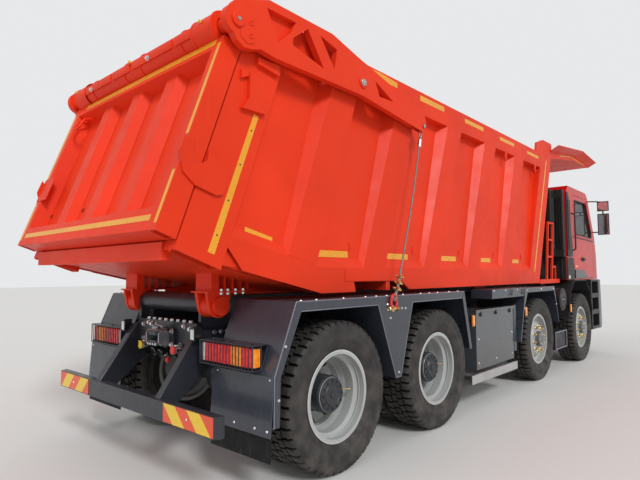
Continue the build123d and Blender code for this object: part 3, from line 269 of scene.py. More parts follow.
def woven_cloth(name, colour):
    """Cloth of the seats: crossed threads with a soft sheen."""
    finish = Finish(name, roughness=0.9)
    weave = finish.math("MAXIMUM", finish.bands("X", 150.0), finish.bands("Y", 150.0))
    finish.set(Base_Color=finish.mix(finish.span(weave, 0.2, 0.9), shade(colour, 0.55), colour),
               Sheen_Weight=0.25)
    return finish.bump(weave, 0.0005, 0.6)


def wire_steel(name):
    finish = Finish(name, metallic=0.8)
    grime = finish.span(finish.noise(120.0, 3.0), 0.35, 0.65)
    return finish.set(Base_Color=finish.mix(grime, (0.12, 0.125, 0.115), (0.36, 0.37, 0.34)),
                      Roughness=finish.vary(60.0, 3.0, 0.30, 0.5))


FINISHES = {}


def mixed(maker, name, *values, slot=None, **more):
    """Makes a finish; the slot argument is not used."""
    FINISHES[name] = maker(name, *values, **more)


mixed(enamel, "bed_paint", (0.84, 0.046, 0.012), 0.40, 0.03, dust=0.03, shine=0.14,
      worn=(0.74, 0.07, 0.025))
mixed(enamel, "cab_paint", (0.62, 0.008, 0.008), 0.20, 0.35, dust=0.02, peel=0.1, shine=0.2)
mixed(enamel, "chassis_paint", (0.024, 0.028, 0.038), 0.38, 0.25, dust=0.08)
mixed(enamel, "guard_plastic", (0.040, 0.046, 0.062), 0.28, 0.45, peel=1.0,
      worn=(0.085, 0.085, 0.10))
mixed(enamel, "tank_paint", (0.066, 0.074, 0.084), 0.22, 0.6, dust=0.04)
mixed(enamel, "rim_silver", (0.43, 0.445, 0.44), 0.34, 0.25, dust=0.03, worn=(0.34, 0.33, 0.31))
mixed(tyre_rubber, "tyre_rubber")
mixed(flap_rubber, "flap_rubber")
mixed(tinted_glass, "cab_window")
mixed(moulded, "trim_black", (0.018, 0.018, 0.02), 0.45)
mixed(woven_cloth, "seat_fabric", (0.10, 0.10, 0.115))
mixed(metal, "bar_aluminium", (0.72, 0.73, 0.74), 0.34)
mixed(wire_steel, "rope_steel")
mixed(enamel, "hoist_paint", (0.03, 0.033, 0.04), 0.4, 0.2)
mixed(metal, "hoist_chrome", (0.78, 0.79, 0.8), 0.12)
mixed(metal, "pin_steel", (0.6, 0.6, 0.6), 0.28, slot="bar_aluminium")
mixed(reflective_tape, "tape_yellow", (0.93, 0.40, 0.012), slot="bed_paint")
mixed(reflective_tape, "board_red", (0.86, 0.085, 0.022), slot="chassis_paint")
mixed(reflective_tape, "board_yellow", (0.93, 0.62, 0.03), slot="chassis_paint")
mixed(lamp_lens, "lens_red", (0.80, 0.008, 0.010), slot="chassis_paint")
mixed(lamp_lens, "lens_amber", (0.95, 0.26, 0.006), slot="chassis_paint")
mixed(lamp_lens, "lens_clear", (0.62, 0.64, 0.66), slot="chassis_paint")
mixed(metal, "zinc", (0.86, 0.87, 0.88), 0.30, slot="bar_aluminium")
# A pale paint for rolled edges, flanges and frames: a painted highlight along their edges
mixed(enamel, "guard_edge", (0.20, 0.20, 0.26), 0.28, 0.5, slot="guard_plastic")
mixed(metal, "jaw_steel", (0.34, 0.355, 0.38), 0.40, 0.6, slot="chassis_paint")
mixed(enamel, "hub_grey", (0.14, 0.142, 0.145), 0.4, 0.2, dust=0.03, slot="rim_silver")
mixed(metal, "brass", (0.78, 0.60, 0.30), 0.30, slot="bar_aluminium")
mixed(enamel, "hub_dark", (0.030, 0.033, 0.040), 0.42, 0.15, dust=0.05, slot="chassis_paint")
mixed(moulded, "cap_yellow", (0.85, 0.60, 0.02), 0.35, 0.3, slot="trim_black")
mixed(moulded, "cap_red", (0.70, 0.02, 0.02), 0.35, 0.3, slot="trim_black")
mixed(moulded, "black_gloss", (0.012, 0.012, 0.013), 0.2, 0.5, slot="trim_black")
mixed(metal, "mirror_glass", (0.80, 0.82, 0.84), 0.05, slot="cab_window")
mixed(metal, "lamp_reflector", (0.85, 0.86, 0.88), 0.12, slot="bar_aluminium")

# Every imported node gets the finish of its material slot
for row in frame["record"]["subparts"]:
    worn_by = frame["nodes"][row["node"]].data.materials
    worn_by.clear()
    worn_by.append(FINISHES[row["material_slot"]])


# Shapes made in millimetres

def unit(v):
    return Vector(v).normalized()


def side_frame(direction):
    """Two directions square to this one."""
    d = unit(direction)
    guide = Vector((0, 0, 1)) if abs(d.z) < 0.9 else Vector((1, 0, 0))
    first = d.cross(guide).normalized()
    return first, d.cross(first).normalized()


def rectangle(low, high, bottom, top):
    return [(low, bottom), (high, bottom), (high, top), (low, top)]


class Stock:
    """Closed shapes gathered in one mesh, each with the finish in use when it was added."""

    def __init__(self, finish):
        self.mesh = bmesh.new()
        self.finishes = []
        self.use(finish)

    def use(self, finish):
        if finish not in self.finishes:
            self.finishes.append(finish)
        self.current = self.finishes.index(finish)
        return self

    def points(self, places):
        return [self.mesh.verts.new(Vector(p) * MM) for p in places]

    def face(self, corners, smooth=False):
        made = self.mesh.faces.new(corners)
        made.material_index = self.current
        made.smooth = smooth

    def skin(self, loops):
        """Joins loops of equally many points into a closed skin."""
        rows = [self.points(loop) for loop in loops]
        count = len(rows[0])
        for low, high in zip(rows, rows[1:]):
            for i in range(count):
                j = (i + 1) % count
                self.face((low[i], low[j], high[j], high[i]))
        self.face(rows[0][::-1])
        self.face(rows[-1])
        return self

    def prism(self, outline, axis, low, high):
        """An outline pushed along X, Y or Z; its points leave that coordinate out."""
        at = {"X": lambda p, v: (v, p[0], p[1]), "Y": lambda p, v: (p[0], v, p[1]),
              "Z": lambda p, v: (p[0], p[1], v)}[axis]
        return self.skin([[at(p, v) for p in outline] for v in (low, high)])

    def bar(self, x_low, x_high, y_low, y_high, z_low, z_high):
        return self.prism(rectangle(x_low, x_high, y_low, y_high), "Z", z_low, z_high)

    def box(self, side, x_low, x_high, inner, outer, z_low, z_high):
        """A bar on one side, between two distances from the truck's middle."""
        return self.bar(x_low, x_high, *sorted((side * inner, side * outer)), z_low, z_high)

    def cheek(self, side, outline, inner, outer):
        """An upright plate on one side, between two distances from the truck's middle."""
        return self.prism(outline, "Y", *sorted((side * inner, side * outer)))

    def plate(self, corners, thickness, flip=False):
        """A flat plate whose back lies on the corners; thickness goes out along their normal."""
        places = [Vector(c) for c in (corners[::-1] if flip else corners)]
        out = (places[1] - places[0]).cross(places[2] - places[0]).normalized() * thickness
        return self.skin([places, [p + out for p in places]])

    def turned(self, profile, place, direction, steps=24, loop=False):
        """A (radius, along) profile turned about an axis through place."""
        first, second = side_frame(direction)
        d = unit(direction)
        origin = Vector(place)
        angles = [math.radians(360.0 * i / steps) for i in range(steps)]
        rings = []
        for radius, along in profile:
            rings.append(self.points(
                [origin + d * along + (first * math.cos(a) + second * math.sin(a)) * radius
                 for a in angles] if radius >= 0.01 else [origin + d * along]))
        if loop:
            rings.append(rings[0])
        for low, high in zip(rings, rings[1:]):
            if len(low) == len(high) == 1:
                continue
            for i in range(steps):
                j = (i + 1) % steps
                if len(low) == 1:
                    self.face((low[0], high[j], high[i]), True)
                elif len(high) == 1:
                    self.face((low[i], low[j], high[0]), True)
                else:
                    self.face((low[i], low[j], high[j], high[i]), True)
        return self

    def rod(self, start, end, radius, steps=12):
        run = Vector(end) - Vector(start)
        edge = min(radius * 0.2, 2.0)
        return self.turned([(0, 0), (radius - edge, 0), (radius, edge),
                            (radius, run.length - edge), (radius - edge, run.length),
                            (0, run.length)], start, run, steps)

    def bolt(self, place, out, across=24.0, height=14.0, washer=True):
        """A hexagon head on its washer."""
        if washer:
            self.turned([(0, 0), (across * 0.72, 0), (across * 0.72, 2.5), (0, 2.5)],
                        place, out, 16)
        return self.turned([(0, 2.0), (across * 0.56, 2.0), (across * 0.58, height - 2.5),
                            (across * 0.5, height), (0, height)], place, out, 6)

    def data(self, name, angle=35.0, smooth=True):
        """The gathered shapes as mesh data, faces outward and edges sharp past the angle."""
        bmesh.ops.recalc_face_normals(self.mesh, faces=self.mesh.faces)
        data = bpy.data.meshes.new(name)
        self.mesh.to_mesh(data)
        self.mesh.free()
        for finish in self.finishes:
            data.materials.append(FINISHES[finish])
        if smooth:
            data.shade_smooth()
            data.set_sharp_from_angle(angle=math.radians(angle))
        return data

    def done(self, name, body, bevel=0.0, angle=35.0, segments=2):
        """Makes the object, rounds its edges and lets it ride on its body."""
        bmesh.ops.remove_doubles(self.mesh, verts=self.mesh.verts, dist=1e-6)
        piece = shown(name, self.data(name, angle))
        if bevel:
            edge = piece.modifiers.new("edges", "BEVEL")
            edge.width = bevel * MM
            edge.segments = segments
            edge.limit_method = "ANGLE"
            edge.angle_limit = math.radians(angle)
            edge.harden_normals = False
        return rest(piece, body)


def rest(piece, body):
    """Rides a finished piece on its body."""
    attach(piece, body)
    return piece


# Patterns made with geometry nodes

class Pattern:
    """A geometry node tree with named inputs for its sizes, and for its finish."""

    def __init__(self, name, **inputs):
        self.tree = bpy.data.node_groups.new(name, "GeometryNodeTree")
        self.tree.interface.new_socket("Geometry", in_out="OUTPUT",
                                       socket_type="NodeSocketGeometry")
        for label, value in {**inputs, "Finish": "Material"}.items():
            kind = {int: "Int", float: "Float"}.get(type(value), value)
            socket = self.tree.interface.new_socket(label, in_out="INPUT",
                                                    socket_type=f"NodeSocket{kind}")
            if kind != value:
                socket.default_value = value
        self.given = self.tree.nodes.new("NodeGroupInput").outputs

    def __getitem__(self, label):
        return self.given[label]

    def node(self, kind, settings=None, give=0, **inputs):
        """Adds a node and gives one of its outputs."""
        if not kind.startswith(("Function", "Shader")):
            kind = "GeometryNode" + kind
        return new_node(self.tree, kind, settings, inputs).outputs[give]

    def math(self, operation, first, second=0.0):
        made = new_node(self.tree, "ShaderNodeMath", {"operation": operation}, {})
        fill(self.tree, made.inputs[0], first)
        fill(self.tree, made.inputs[1], second)
        return made.outputs[0]

    def vector(self, operation, first, second=None, scale=None):
        made = new_node(self.tree, "ShaderNodeVectorMath", {"operation": operation}, {})
        for key, value in ((0, first), (1, second), ("Scale", scale)):
            if value is not None:
                fill(self.tree, made.inputs[key], value)
        return made.outputs[0]

    def facing(self, euler):
        return self.node("FunctionNodeEulerToRotation", Euler=euler)

    def turn(self, angle):
        """A turn about Z."""
        return self.facing(self.node("ShaderNodeCombineXYZ", Z=angle))

    def copies(self, points, rotation):
        piece = self.node("ObjectInfo", give="Geometry", Object=self["Piece"])
        return self.node("InstanceOnPoints", Points=points, Instance=piece, Rotation=rotation)

    def line(self):
        return self.node("MeshToCurve", Mesh=self["Geometry"])

    def smooth(self, geometry):
        return self.end(self.node("SetShadeSmooth", Geometry=geometry))

    def end(self, geometry):
        """Real geometry with its finish, the last steps of every tree."""
        real = self.node("RealizeInstances", Geometry=geometry)
        painted = self.node("SetMaterial", Geometry=real, Material=self["Finish"])
        out = self.tree.nodes.new("NodeGroupOutput")
        self.tree.links.new(painted, out.inputs[0])
        return self


def ring_pattern():
    """Copies of a piece round a circle, each turned to face outward."""
    p = Pattern("ring", Piece="Object", Count=10, Radius=0.15, Turn="Vector", Place="Vector",
                Start=0.0)
    circle = p.node("MeshCircle", Vertices=p["Count"], Radius=p["Radius"])
    step = p.math("DIVIDE", 2 * math.pi, p["Count"])
    copies = p.copies(circle, p.turn(p.math("MULTIPLY", p.node("InputIndex"), step)))
    spun = p.node("Transform", Geometry=copies, Rotation=p.turn(p["Start"]))
    return p.end(p.node("Transform", Geometry=spun, Rotation=p.facing(p["Turn"]),
                        Translation=p["Place"]))


def row_pattern():
    """Copies of a piece in a straight row."""
    p = Pattern("row", Piece="Object", Count=5, From="Vector", To="Vector", Turn="Vector")
    line = p.node("MeshLine", {"mode": "END_POINTS"}, Count=p["Count"],
                  Start_Location=p["From"], Offset=p["To"])
    return p.end(p.copies(line, p.facing(p["Turn"])))


def fixing_pattern():
    """Copies of a fixing on marked points, each standing along the point's own direction."""
    p = Pattern("fixings", Geometry="Geometry", Piece="Object")
    marked = p.node("InputNamedAttribute", {"data_type": "FLOAT_VECTOR"}, "Attribute",
                    Name="facing")
    lean = p.node("FunctionNodeAlignRotationToVector", {"axis": "Z"}, Vector=marked)
    return p.end(p.copies(p["Geometry"], lean))


def piping_pattern():
    """A round bar along a bent line, its corners rounded."""
    p = Pattern("piping", Geometry="Geometry", Radius=0.01, Bend=0.03, Sides=12)
    bent = p.node("FilletCurve", {"mode": "POLY"}, Curve=p.line(), Radius=p["Bend"],
                  Limit_Radius=True, Count=6)
    round_bar = p.node("CurvePrimitiveCircle", Resolution=p["Sides"], Radius=p["Radius"])
    return p.smooth(p.node("CurveToMesh", Curve=bent, Profile_Curve=round_bar,
                           Fill_Caps=True))


def bead_pattern():
    """Overlapping weld ripples along a line, each a little different in size."""
    p = Pattern("weld_bead", Geometry="Geometry", Size=0.006, Pitch=0.009, Seed=3)
    spots = p.node("CurveToPoints", {"mode": "LENGTH"}, "Points", Curve=p.line(),
                   Length=p["Pitch"])
    ball = p.node("MeshIcoSphere", Radius=p["Size"], Subdivisions=1)
    vary = new_node(p.tree, "FunctionNodeRandomValue", {"data_type": "FLOAT"},
                    {"Seed": p["Seed"]})
    vary.inputs[2].default_value = 0.85
    vary.inputs[3].default_value = 1.15
    copies = p.node("InstanceOnPoints", Points=spots, Instance=ball, Scale=vary.outputs[1])
    return p.smooth(p.node("RealizeInstances", Geometry=copies))


def wire_pattern(strands=6):
    """Strands laid in a helix round a line, as in a wire rope."""
    p = Pattern("wire_rope", Geometry="Geometry", Lay=0.09, Core=0.005, Strand=0.0031)
    fine = p.node("ResampleCurve", {"mode": "LENGTH"}, Curve=p.line(), Length=0.0115)
    length = p.node("SplineParameter", give="Length")
    normal = p.node("InputNormal")
    other = p.vector("CROSS_PRODUCT", p.node("InputTangent"), normal)
    wind = p.math("DIVIDE", p.math("MULTIPLY", length, 2 * math.pi), p["Lay"])
    profile = p.node("CurvePrimitiveCircle", Resolution=5, Radius=p["Strand"])
    gather = p.tree.nodes.new("GeometryNodeJoinGeometry")
    for number in range(strands):
        angle = p.math("ADD", wind, 2 * math.pi * number / strands)
        out = p.vector("SCALE", normal, scale=p.math("COSINE", angle))
        across = p.vector("SCALE", other, scale=p.math("SINE", angle))
        away = p.vector("SCALE", p.vector("ADD", out, across), scale=p["Core"])
        wound = p.node("SetPosition", Geometry=fine, Offset=away)
        strand = p.node("CurveToMesh", Curve=wound, Profile_Curve=profile, Fill_Caps=True)
        p.tree.links.new(strand, gather.inputs[0])
    return p.smooth(gather.outputs[0])


RING = ring_pattern()
ROW = row_pattern()
FIXINGS = fixing_pattern()
PIPING = piping_pattern()
BEAD = bead_pattern()
WIRE = wire_pattern()


def line_mesh(lines):
    """A mesh of bare lines, each a list of points in millimetres."""
    data = bpy.data.meshes.new("lines")
    places, edges = [], []
    for line in lines:
        base = len(places)
        places += [Vector(p) * MM for p in line]
        edges += [(base + i, base + i + 1) for i in range(len(line) - 1)]
    data.from_pydata(places, edges, [])
    return data


def point_mesh(marks):
    """Bare points in millimetres, each with the direction that a fixing stands along."""
    data = bpy.data.meshes.new("marks")
    data.from_pydata([Vector(place) * MM for place, _ in marks], [], [])
    facing = data.attributes.new("facing", "FLOAT_VECTOR", "POINT")
    for row, (_, out) in zip(facing.data, marks):
        row.vector = unit(out)
    return data


def settle(piece):
    """Keeps what a piece's modifiers make of it as its plain mesh."""
    made = bpy.data.meshes.new_from_object(
        piece.evaluated_get(bpy.context.evaluated_depsgraph_get()))
    piece.modifiers.clear()
    piece.data = made
    return made


def grow(name, pattern, finish, body=None, base=None, **sizes):
    """Runs a pattern and keeps its result as a plain mesh."""
    holder = shown(name, base or bpy.data.meshes.new(name))
    maker = holder.modifiers.new(name, "NODES")
    maker.node_group = pattern.tree
    sizes["Finish"] = FINISHES[finish]
    for socket in pattern.tree.interface.items_tree:
        if socket.in_out == "INPUT" and socket.name in sizes:
            maker[socket.identifier] = sizes[socket.name]
    made = settle(holder)
    made.name = name
    made.materials.clear()
    made.materials.append(FINISHES[finish])
    for face in made.polygons:
        face.material_index = 0
    return rest(holder, body) if body else holder


def master(stock, smooth=True):
    """A piece to be copied by a pattern; it isn't shown itself."""
    return bpy.data.objects.new("master", stock.data("master", smooth=smooth))


def fixings(name, piece, marks, finish, body):
    return grow(name, FIXINGS, finish, body, point_mesh(marks), Piece=piece)


def piping(name, lines, radius, finish, body, bend=0.02, sides=12):
    return grow(name, PIPING, finish, body, line_mesh(lines), Radius=radius * MM, Bend=bend,
                Sides=sides)


def welds(name, lines, body, size, pitch, seed):
    return grow(name, BEAD, "bed_paint", body, line_mesh(lines), Size=size, Pitch=pitch,
                Seed=seed)


def both(marks):
    """The same marks on both sides of the truck."""
    return [((x, y * side, z), (out[0], out[1] * side, out[2]))
            for (x, y, z), out in marks for side in BOTH]


def join(name, body, finish, pieces):
    """Several grown pieces made one mesh."""
    stock = bmesh.new()
    for piece in pieces:
        stock.from_mesh(piece.data)
        bpy.data.objects.remove(piece)
    data = bpy.data.meshes.new(name)
    stock.to_mesh(data)
    stock.free()
    data.materials.append(FINISHES[finish])
    return rest(shown(name, data), body)


# Tyres and wheels

def shoulder_block():
    """A slanted block over the tyre's shoulder, running down onto the sidewall."""
    return master(Stock("tyre_rubber").skin(
        [[(-32, u, inner), (-1.5, u, inner + 3), (-1, u, 119), (-11, u, 136), (-29, u, 145),
          (-42, u, 136)] for u, inner in ((-25, 56), (-8, 66), (6, 58), (23, 70))]))


def crown_block(flip):
    """A cranked block beside the tyre's centre line, cut by a sipe."""
    stock = Stock("tyre_rubber")
    outline = [(-27, 4), (-4, 8), (24, 2), (27, 44), (3, 50), (-24, 46)]
    for low, high in ((-27.5, -1.5), (1.5, 27.5)):
        part = [(min(max(u, low), high), v * flip) for u, v in outline]
        stock.skin([[(-32, u, v) for u, v in part],
                    [(528.6 - TYRE_RADIUS, u * 0.97, v * 0.98) for u, v in part]])
    return master(stock)


def tyre_section(y):
    """Rings and grooves on the sidewalls; the tread floor lies under the blocks."""
    right = [(327, 110), (336, 121), (352, 131), (362, 137), (366, 140), (371, 139.5),
             (375, 142), (396, 148.5), (399, 150.5), (405, 150.8), (409, 149.4), (432, 151),
             (436, 149.5), (441, 151), (462, 148.6), (466, 150), (471, 148.6), (488, 146.5),
             (501, 143), (509, 136), (508, 121), (501, 112), (500, 60), (499, 56)]
    left = [(r, -v) for r, v in reversed(right)]
    return [(r, y + v) for r, v in right + left + [(301, -110), (301, 110)]]


BLOCKS = (shoulder_block(), crown_block(1), crown_block(-1))


def tyre(name, axle_x, side, y_list, body, node, count, start):
    """A tyre or a pair: turned carcass and a tread of real blocks."""
    stock = Stock("tyre_rubber")
    for y in y_list:
        stock.turned(tyre_section(side * y), (axle_x, 0, WHEEL_Z), (0, 1, 0), 96, loop=True)
    pieces = [shown(name + "_carcass", stock.data(name, 50))]
    quarter = math.pi / 2
    for y in y_list:
        for block, turn, extra in ((0, -quarter, 0.0), (0, quarter, 0.5),
                                   (1, -quarter, 0.25), (2, -quarter, 0.75)):
            pieces.append(grow("tread", RING, "tyre_rubber", Piece=BLOCKS[block], Count=count,
                               Radius=TYRE_RADIUS * MM, Turn=(turn, 0, 0),
                               Start=start + extra / count * FULL_TURN,
                               Place=(axle_x * MM, side * y * MM, WHEEL_Z * MM)))
    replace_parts(join(name, body, "tyre_rubber", pieces), node)


def turned_master(finish, *profiles):
    """A fixing turned from a few profiles, each with its number of steps."""
    stock = Stock(finish)
    for steps, profile in profiles:
        stock.turned(profile, (0, 0, 0), (0, 0, 1), steps)
    return master(stock)


def dome_rivet(radius, height):
    return turned_master("zinc", (12, [(0, -0.5), (radius, -0.5), (radius, height * 0.3),
                                       (radius * 0.75, height * 0.8), (0, height)]))


def hexagon_bolt(across, height):
    return master(Stock("zinc").bolt((0, 0, 0), (0, 0, 1), across, height))


# A flanged wheel nut with the stud's end standing out of it
NUT = turned_master("brass", (14, [(0, 0), (22, 0), (23, 3), (20, 7), (0, 7)]),
                    (6, [(0, 6), (17, 6), (17.5, 24), (15, 28), (0, 28)]),
                    (10, [(0, 27), (10, 27), (10, 37), (8.5, 39), (0, 39)]))
HUB_BOLT = hexagon_bolt(15, 9)
BIG_BOLT = hexagon_bolt(27, 17)
RIVET = dome_rivet(11, 9)


def ring_of(name, piece, finish, body, axle_x, side, y, radius, count, start=0.0):
    """Fixings round a wheel's axle, standing outboard."""
    return grow(name, RING, finish, body, Piece=piece, Count=count, Radius=radius * MM,
                Turn=(-side * math.pi / 2, 0, 0), Start=start,
                Place=(axle_x * MM, side * y * MM, WHEEL_Z * MM))


def steered_wheel(tag, axle_x, side):
    body = f"wheel_{tag}"
    tyre(f"tyre_tread_{tag}", axle_x, side, [STEER_Y], body, f"tyre_{tag}", 50, 0.3)
    ring_of(f"wheel_nuts_{tag}", NUT, "brass", body, axle_x, side, STEER_Y + 104, 164, 10, 0.2)
    axis = (axle_x, side * STEER_Y, WHEEL_Z), (0, side, 0)
    cap = Stock("hub_grey")
    cap.turned([(0, 166), (0.02, 166), (26, 166), (30, 163), (52, 162), (56, 158), (88, 156),
                (98, 148), (99, 104), (112, 103), (118, 99), (118, 90)], *axis, 48)
    cap.use("lamp_reflector")
    cap.turned([(300, 112), (318, 119), (324, 117), (324.5, 111), (316, 108), (301, 106)],
               *axis, 96, loop=True)
    cap.done(f"hub_cap_{tag}", body, angle=30)
    ring_of(f"hub_bolts_{tag}", HUB_BOLT, "zinc", body, axle_x, side, STEER_Y + 157, 72, 8)
    stem = Vector((axle_x + side * 10, side * (STEER_Y + 84), WHEEL_Z - 205))
    tip = Vector((axle_x + side * 12, side * (STEER_Y + 118), WHEEL_Z - 232))
    Stock("brass").rod(stem, tip, 5).rod(tip, tip + (tip - stem) * 0.35, 6.5).done(
        f"valve_{tag}", body)


def twin_wheel(tag, axle_x, side):
    body = f"wheels_{tag}"
    tyre(f"tyres_tread_{tag}", axle_x, side, [DUAL_IN_Y, DUAL_OUT_Y], body, f"tyres_{tag}",
         48, 0.1)
    ring_of(f"wheel_nuts_{tag}", NUT, "zinc", body, axle_x, side, DUAL_DISC_Y + 16, 156, 10)
    axis = (axle_x, 0, WHEEL_Z), (0, side, 0)
    hub = Stock("hub_dark")
    hub.turned([(0, 1170), (20, 1170), (26, 1166), (28, 1160), (66, 1159), (72, 1164),
                (78, 1164), (84, 1157), (112, 1156), (119, 1151), (121, 1139), (130, 1136),
                (135, 1128), (135, 1052), (132, 1046), (132, 990), (139, 985), (141, 938)],
               *axis, 64)
    hub.use("rim_silver")
    for radius, y in ((246, 1012), (291, 1168)):
        hub.turned([(radius, y - 4), (radius - 5, y - 1.6), (radius - 5, y + 1.6),
                    (radius, y + 4), (radius + 4, y)], *axis, 96, loop=True)
    hub.use("lamp_reflector")
    hub.turned([(300, 1207), (314, 1214.5), (323, 1213.5), (324.5, 1206), (316, 1203),
                (301, 1201)], *axis, 96, loop=True)
    hub.done(f"hub_cover_{tag}", body, angle=30)
    ring_of(f"hub_bolts_{tag}", HUB_BOLT, "hub_dark", body, axle_x, side, 1156, 99, 12)
    foot = Vector((axle_x - side * 132, side * 1085, WHEEL_Z + 6))
    tip = Vector((axle_x - side * 205, side * 1122, WHEEL_Z + 4))
    Stock("brass").rod(foot, tip, 6).rod(tip, tip + (tip - foot) * 0.3, 9).rod(
        foot - Vector((0, side * 120, 0)), foot, 6).done(f"valve_{tag}", body)


for axles, wheel in ((STEER_AXLES, steered_wheel), (DRIVE_AXLES, twin_wheel)):
    for axle, axle_x in axles.items():
        for side_name, side in SIDES.items():
            wheel(f"{axle}_{side_name}", axle_x, side)


# Reflective marks on the bed, the gate and the guard bar

def gate_point(y, up, out):
    """A place on the leaning gate: up along it, out from its rear face."""
    return (GATE_REAR_X + up * math.sin(LEAN) - out * math.cos(LEAN), y,
            GATE_REAR_Z + up * math.cos(LEAN) + out * math.sin(LEAN))


def wall_y(z):
    """The leaning side wall's outer face at this height."""
    return 1034 - (z - 1335) * 54 / 1595


def side_marks():
    """Stripes on the rails, in the bays and on the posts, the same on both sides."""
    stock = Stock("tape_yellow")
    bays = [rectangle(*ends) for ends in (
        (-3021, -2660, 1519, 1569), (-2141, -1778, 1519, 1569), (-1198, -831, 1519, 1569),
        (-283, 46, 1520, 1568), (660, 940, 1520, 1567))]
    bays.append([(-3708, 1651), (-3472, 1597), (-3465, 1638), (-3702, 1697)])
    flats = [[(-2418, 3130), (-2242, 3076), (-1971, 3074), (-1970, 3123), (-2254, 3138)]]
    flats += [rectangle(*ends) for ends in (
        (-1573, -1096, 3062, 3116), (-624, -145, 3057, 3104), (335, 803, 3050, 3094),
        (1272, 1719, 3043, 3082))]
    flats.append([(-4022, 1525), (-3974, 1509), (-3633, 2419), (-3671, 2435)])
    flats.append([(1392, 1416), (1424, 1408), (2076, 3068), (2044, 3078)])
    for a, b in (((2728, 3262), (3311, 3345)), ((3317, 3345), (4141, 3334))):
        run = Vector((b[0] - a[0], b[1] - a[1])).normalized()
        off = Vector((-run.y, run.x)) * 9
        flats.append([(a[0] - off.x, a[1] - off.y), (b[0] - off.x, b[1] - off.y),
                      (b[0] + off.x, b[1] + off.y), (a[0] + off.x, a[1] + off.y)])
    for side in BOTH:
        for outline in bays:
            stock.plate([(x, side * wall_y(z), z) for x, z in outline], 1.8, side > 0)
        for outline in flats:
            stock.prism(outline, "Y", side * SIDE_FACE_Y, side * (SIDE_FACE_Y + 1.5))
    stock.done("side_marks", "bed")


def gate_marks():
    """The yellow frame of stripes round the gate's rear face."""
    stock = Stock("tape_yellow")
    for y_low, y_high, low, high in ((-1002, 860, 1268, 1311), (-979, 985, 60, 97),
                                     (-1064, -1036, 610, 1267), (-1064, -1036, 42, 373),
                                     (1036, 1064, 611, 1248), (1036, 1064, 41, 370)):
        stock.plate([gate_point(y, up, 0) for y, up in rectangle(y_high, y_low, low, high)], 1.5)
    stock.done("gate_marks", "tailgate")


def guard_boards():
    """Red boards with yellow chevrons on the guard bar, mirrored left and right."""
    stock = Stock("board_red")
    rear, inner, width, low, high = -3986, 555, 538, 446, 563
    for side in BOTH:
        stock.use("board_red").box(side, rear - 2.5, rear, inner, inner + width, low, high)
        stock.use("board_yellow")
        for start, end in ((0.0, 0.25), (0.49, 0.75)):
            corners = [(start + 0.21, low), (end + 0.21, low), (end, high), (start, high)]
            stock.prism([(side * (inner + width * t), z) for t, z in corners], "X",
                        rear - 3.3, rear - 2.4)
        stock.use("zinc").bolt((rear - 3, side * 825, 505), (-1, 0, 0), 11, 5)
    stock.done("guard_boards", "chassis")


side_marks()
gate_marks()
guard_boards()


# Lamps, their cages and what stands on the rear beam

def lamp_housings():
    """Lamp boxes in cages whose outer ends are open, and the number lamps' boxes."""
    stock = Stock("chassis_paint")
    rods = []
    for side in BOTH:
        stock.use("black_gloss").box(side, -3690, -3642, 576, 1116, 801, 932)
        stock.use("guard_plastic")
        stock.prism([(-3722, side * 568), (-3722, side * 1122), (-3642, side * 1122),
                     (-3584, side * 1122), (-3584, side * 568)], "Z", 941, 946)
        stock.box(side, -3722, -3642, 568, 1122, 787, 792)
        stock.box(side, -3648, -3642, 568, 1122, 787, 944)
        stock.cheek(side, [(-3722, 944), (-3584, 944), (-3642, 790), (-3722, 790)], 567, 572)
        rods.append([(x, side * 1121, z) for x, z in ((-3718, 944), (-3588, 944), (-3644, 790),
                                                      (-3718, 790), (-3718, 944))])
        stock.use("black_gloss").box(side, -3733, -3672, 475, 524, 927, 1016)
        stock.box(side, -3700, -3660, 455, 475, 935, 950)
        for y in (640, 840, 1050):
            stock.bolt((-3660, side * y, 947), (0, 0, 1), 15, 7)
    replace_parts(stock.done("lamp_housings", "chassis", bevel=2), "tail_lamps")
    piping("lamp_end_rods", rods, 4.5, "chassis_paint", "chassis", bend=0.006, sides=8)


def tail_lamps():
    """Lenses in their housings, then the cage of upright bars in front of them."""
    stock = Stock("lens_red")
    for side in BOTH:
        for finish, inner, outer in (("lens_clear", 582, 612), ("lens_red", 615, 735),
                                     ("lens_red", 738, 850), ("lens_red", 853, 892),
                                     ("lens_amber", 895, 1000), ("lens_red", 1003, 1062)):
            stock.use(finish).box(side, -3711, -3688, inner, outer, 806, 927)
        for finish, inner, outer, rear in (("lens_red", 1065, 1092, -3708),
                                           ("lens_amber", 1094, 1117, -3698)):
            stock.use(finish).prism([(-3650, side * inner), (rear - 4, side * inner),
                                     (rear, side * outer), (-3650, side * outer)], "Z",
                                    808, 925)
    stock.done("tail_lenses", "chassis", bevel=4)

    upright = master(Stock("chassis_paint").bar(-3, 3, -1.7, 1.7, 0, 150), smooth=False)
    pieces = [grow("cage", ROW, "chassis_paint", Piece=upright, Count=17,
                   From=(-3.719, side * 0.572, 0.791), To=(-3.719, side * 1.084, 0.791))
              for side in BOTH]
    lines = [[(-3719, side * 569, z), (-3719, side * 1121, z)]
             for side in BOTH for z in (789, 944)]
    pieces.append(piping("cage_rails", lines, 4.5, "chassis_paint", None))
    join("lamp_cage", "chassis", "chassis_paint", pieces)


def number_lamps():
    """Small lamps over the guard struts: a clear lens in a dark rim, and a cap."""
    stock = Stock("lens_clear")
    for side in BOTH:
        stock.use("lens_clear").box(side, -3741, -3733, 480, 519, 938, 1008)
        stock.use("black_gloss")
        for rear, fore, inner, outer, low, high in (
                (-3739, -3733, 476, 523, 930, 936), (-3739, -3733, 476, 523, 1010, 1016),
                (-3739, -3733, 475, 479, 930, 1016), (-3739, -3733, 520, 524, 930, 1016),
                (-3741, -3669, 472, 527, 1017, 1024)):
            stock.box(side, rear, fore, inner, outer, low, high)
    stock.done("number_lamps", "chassis", bevel=2)


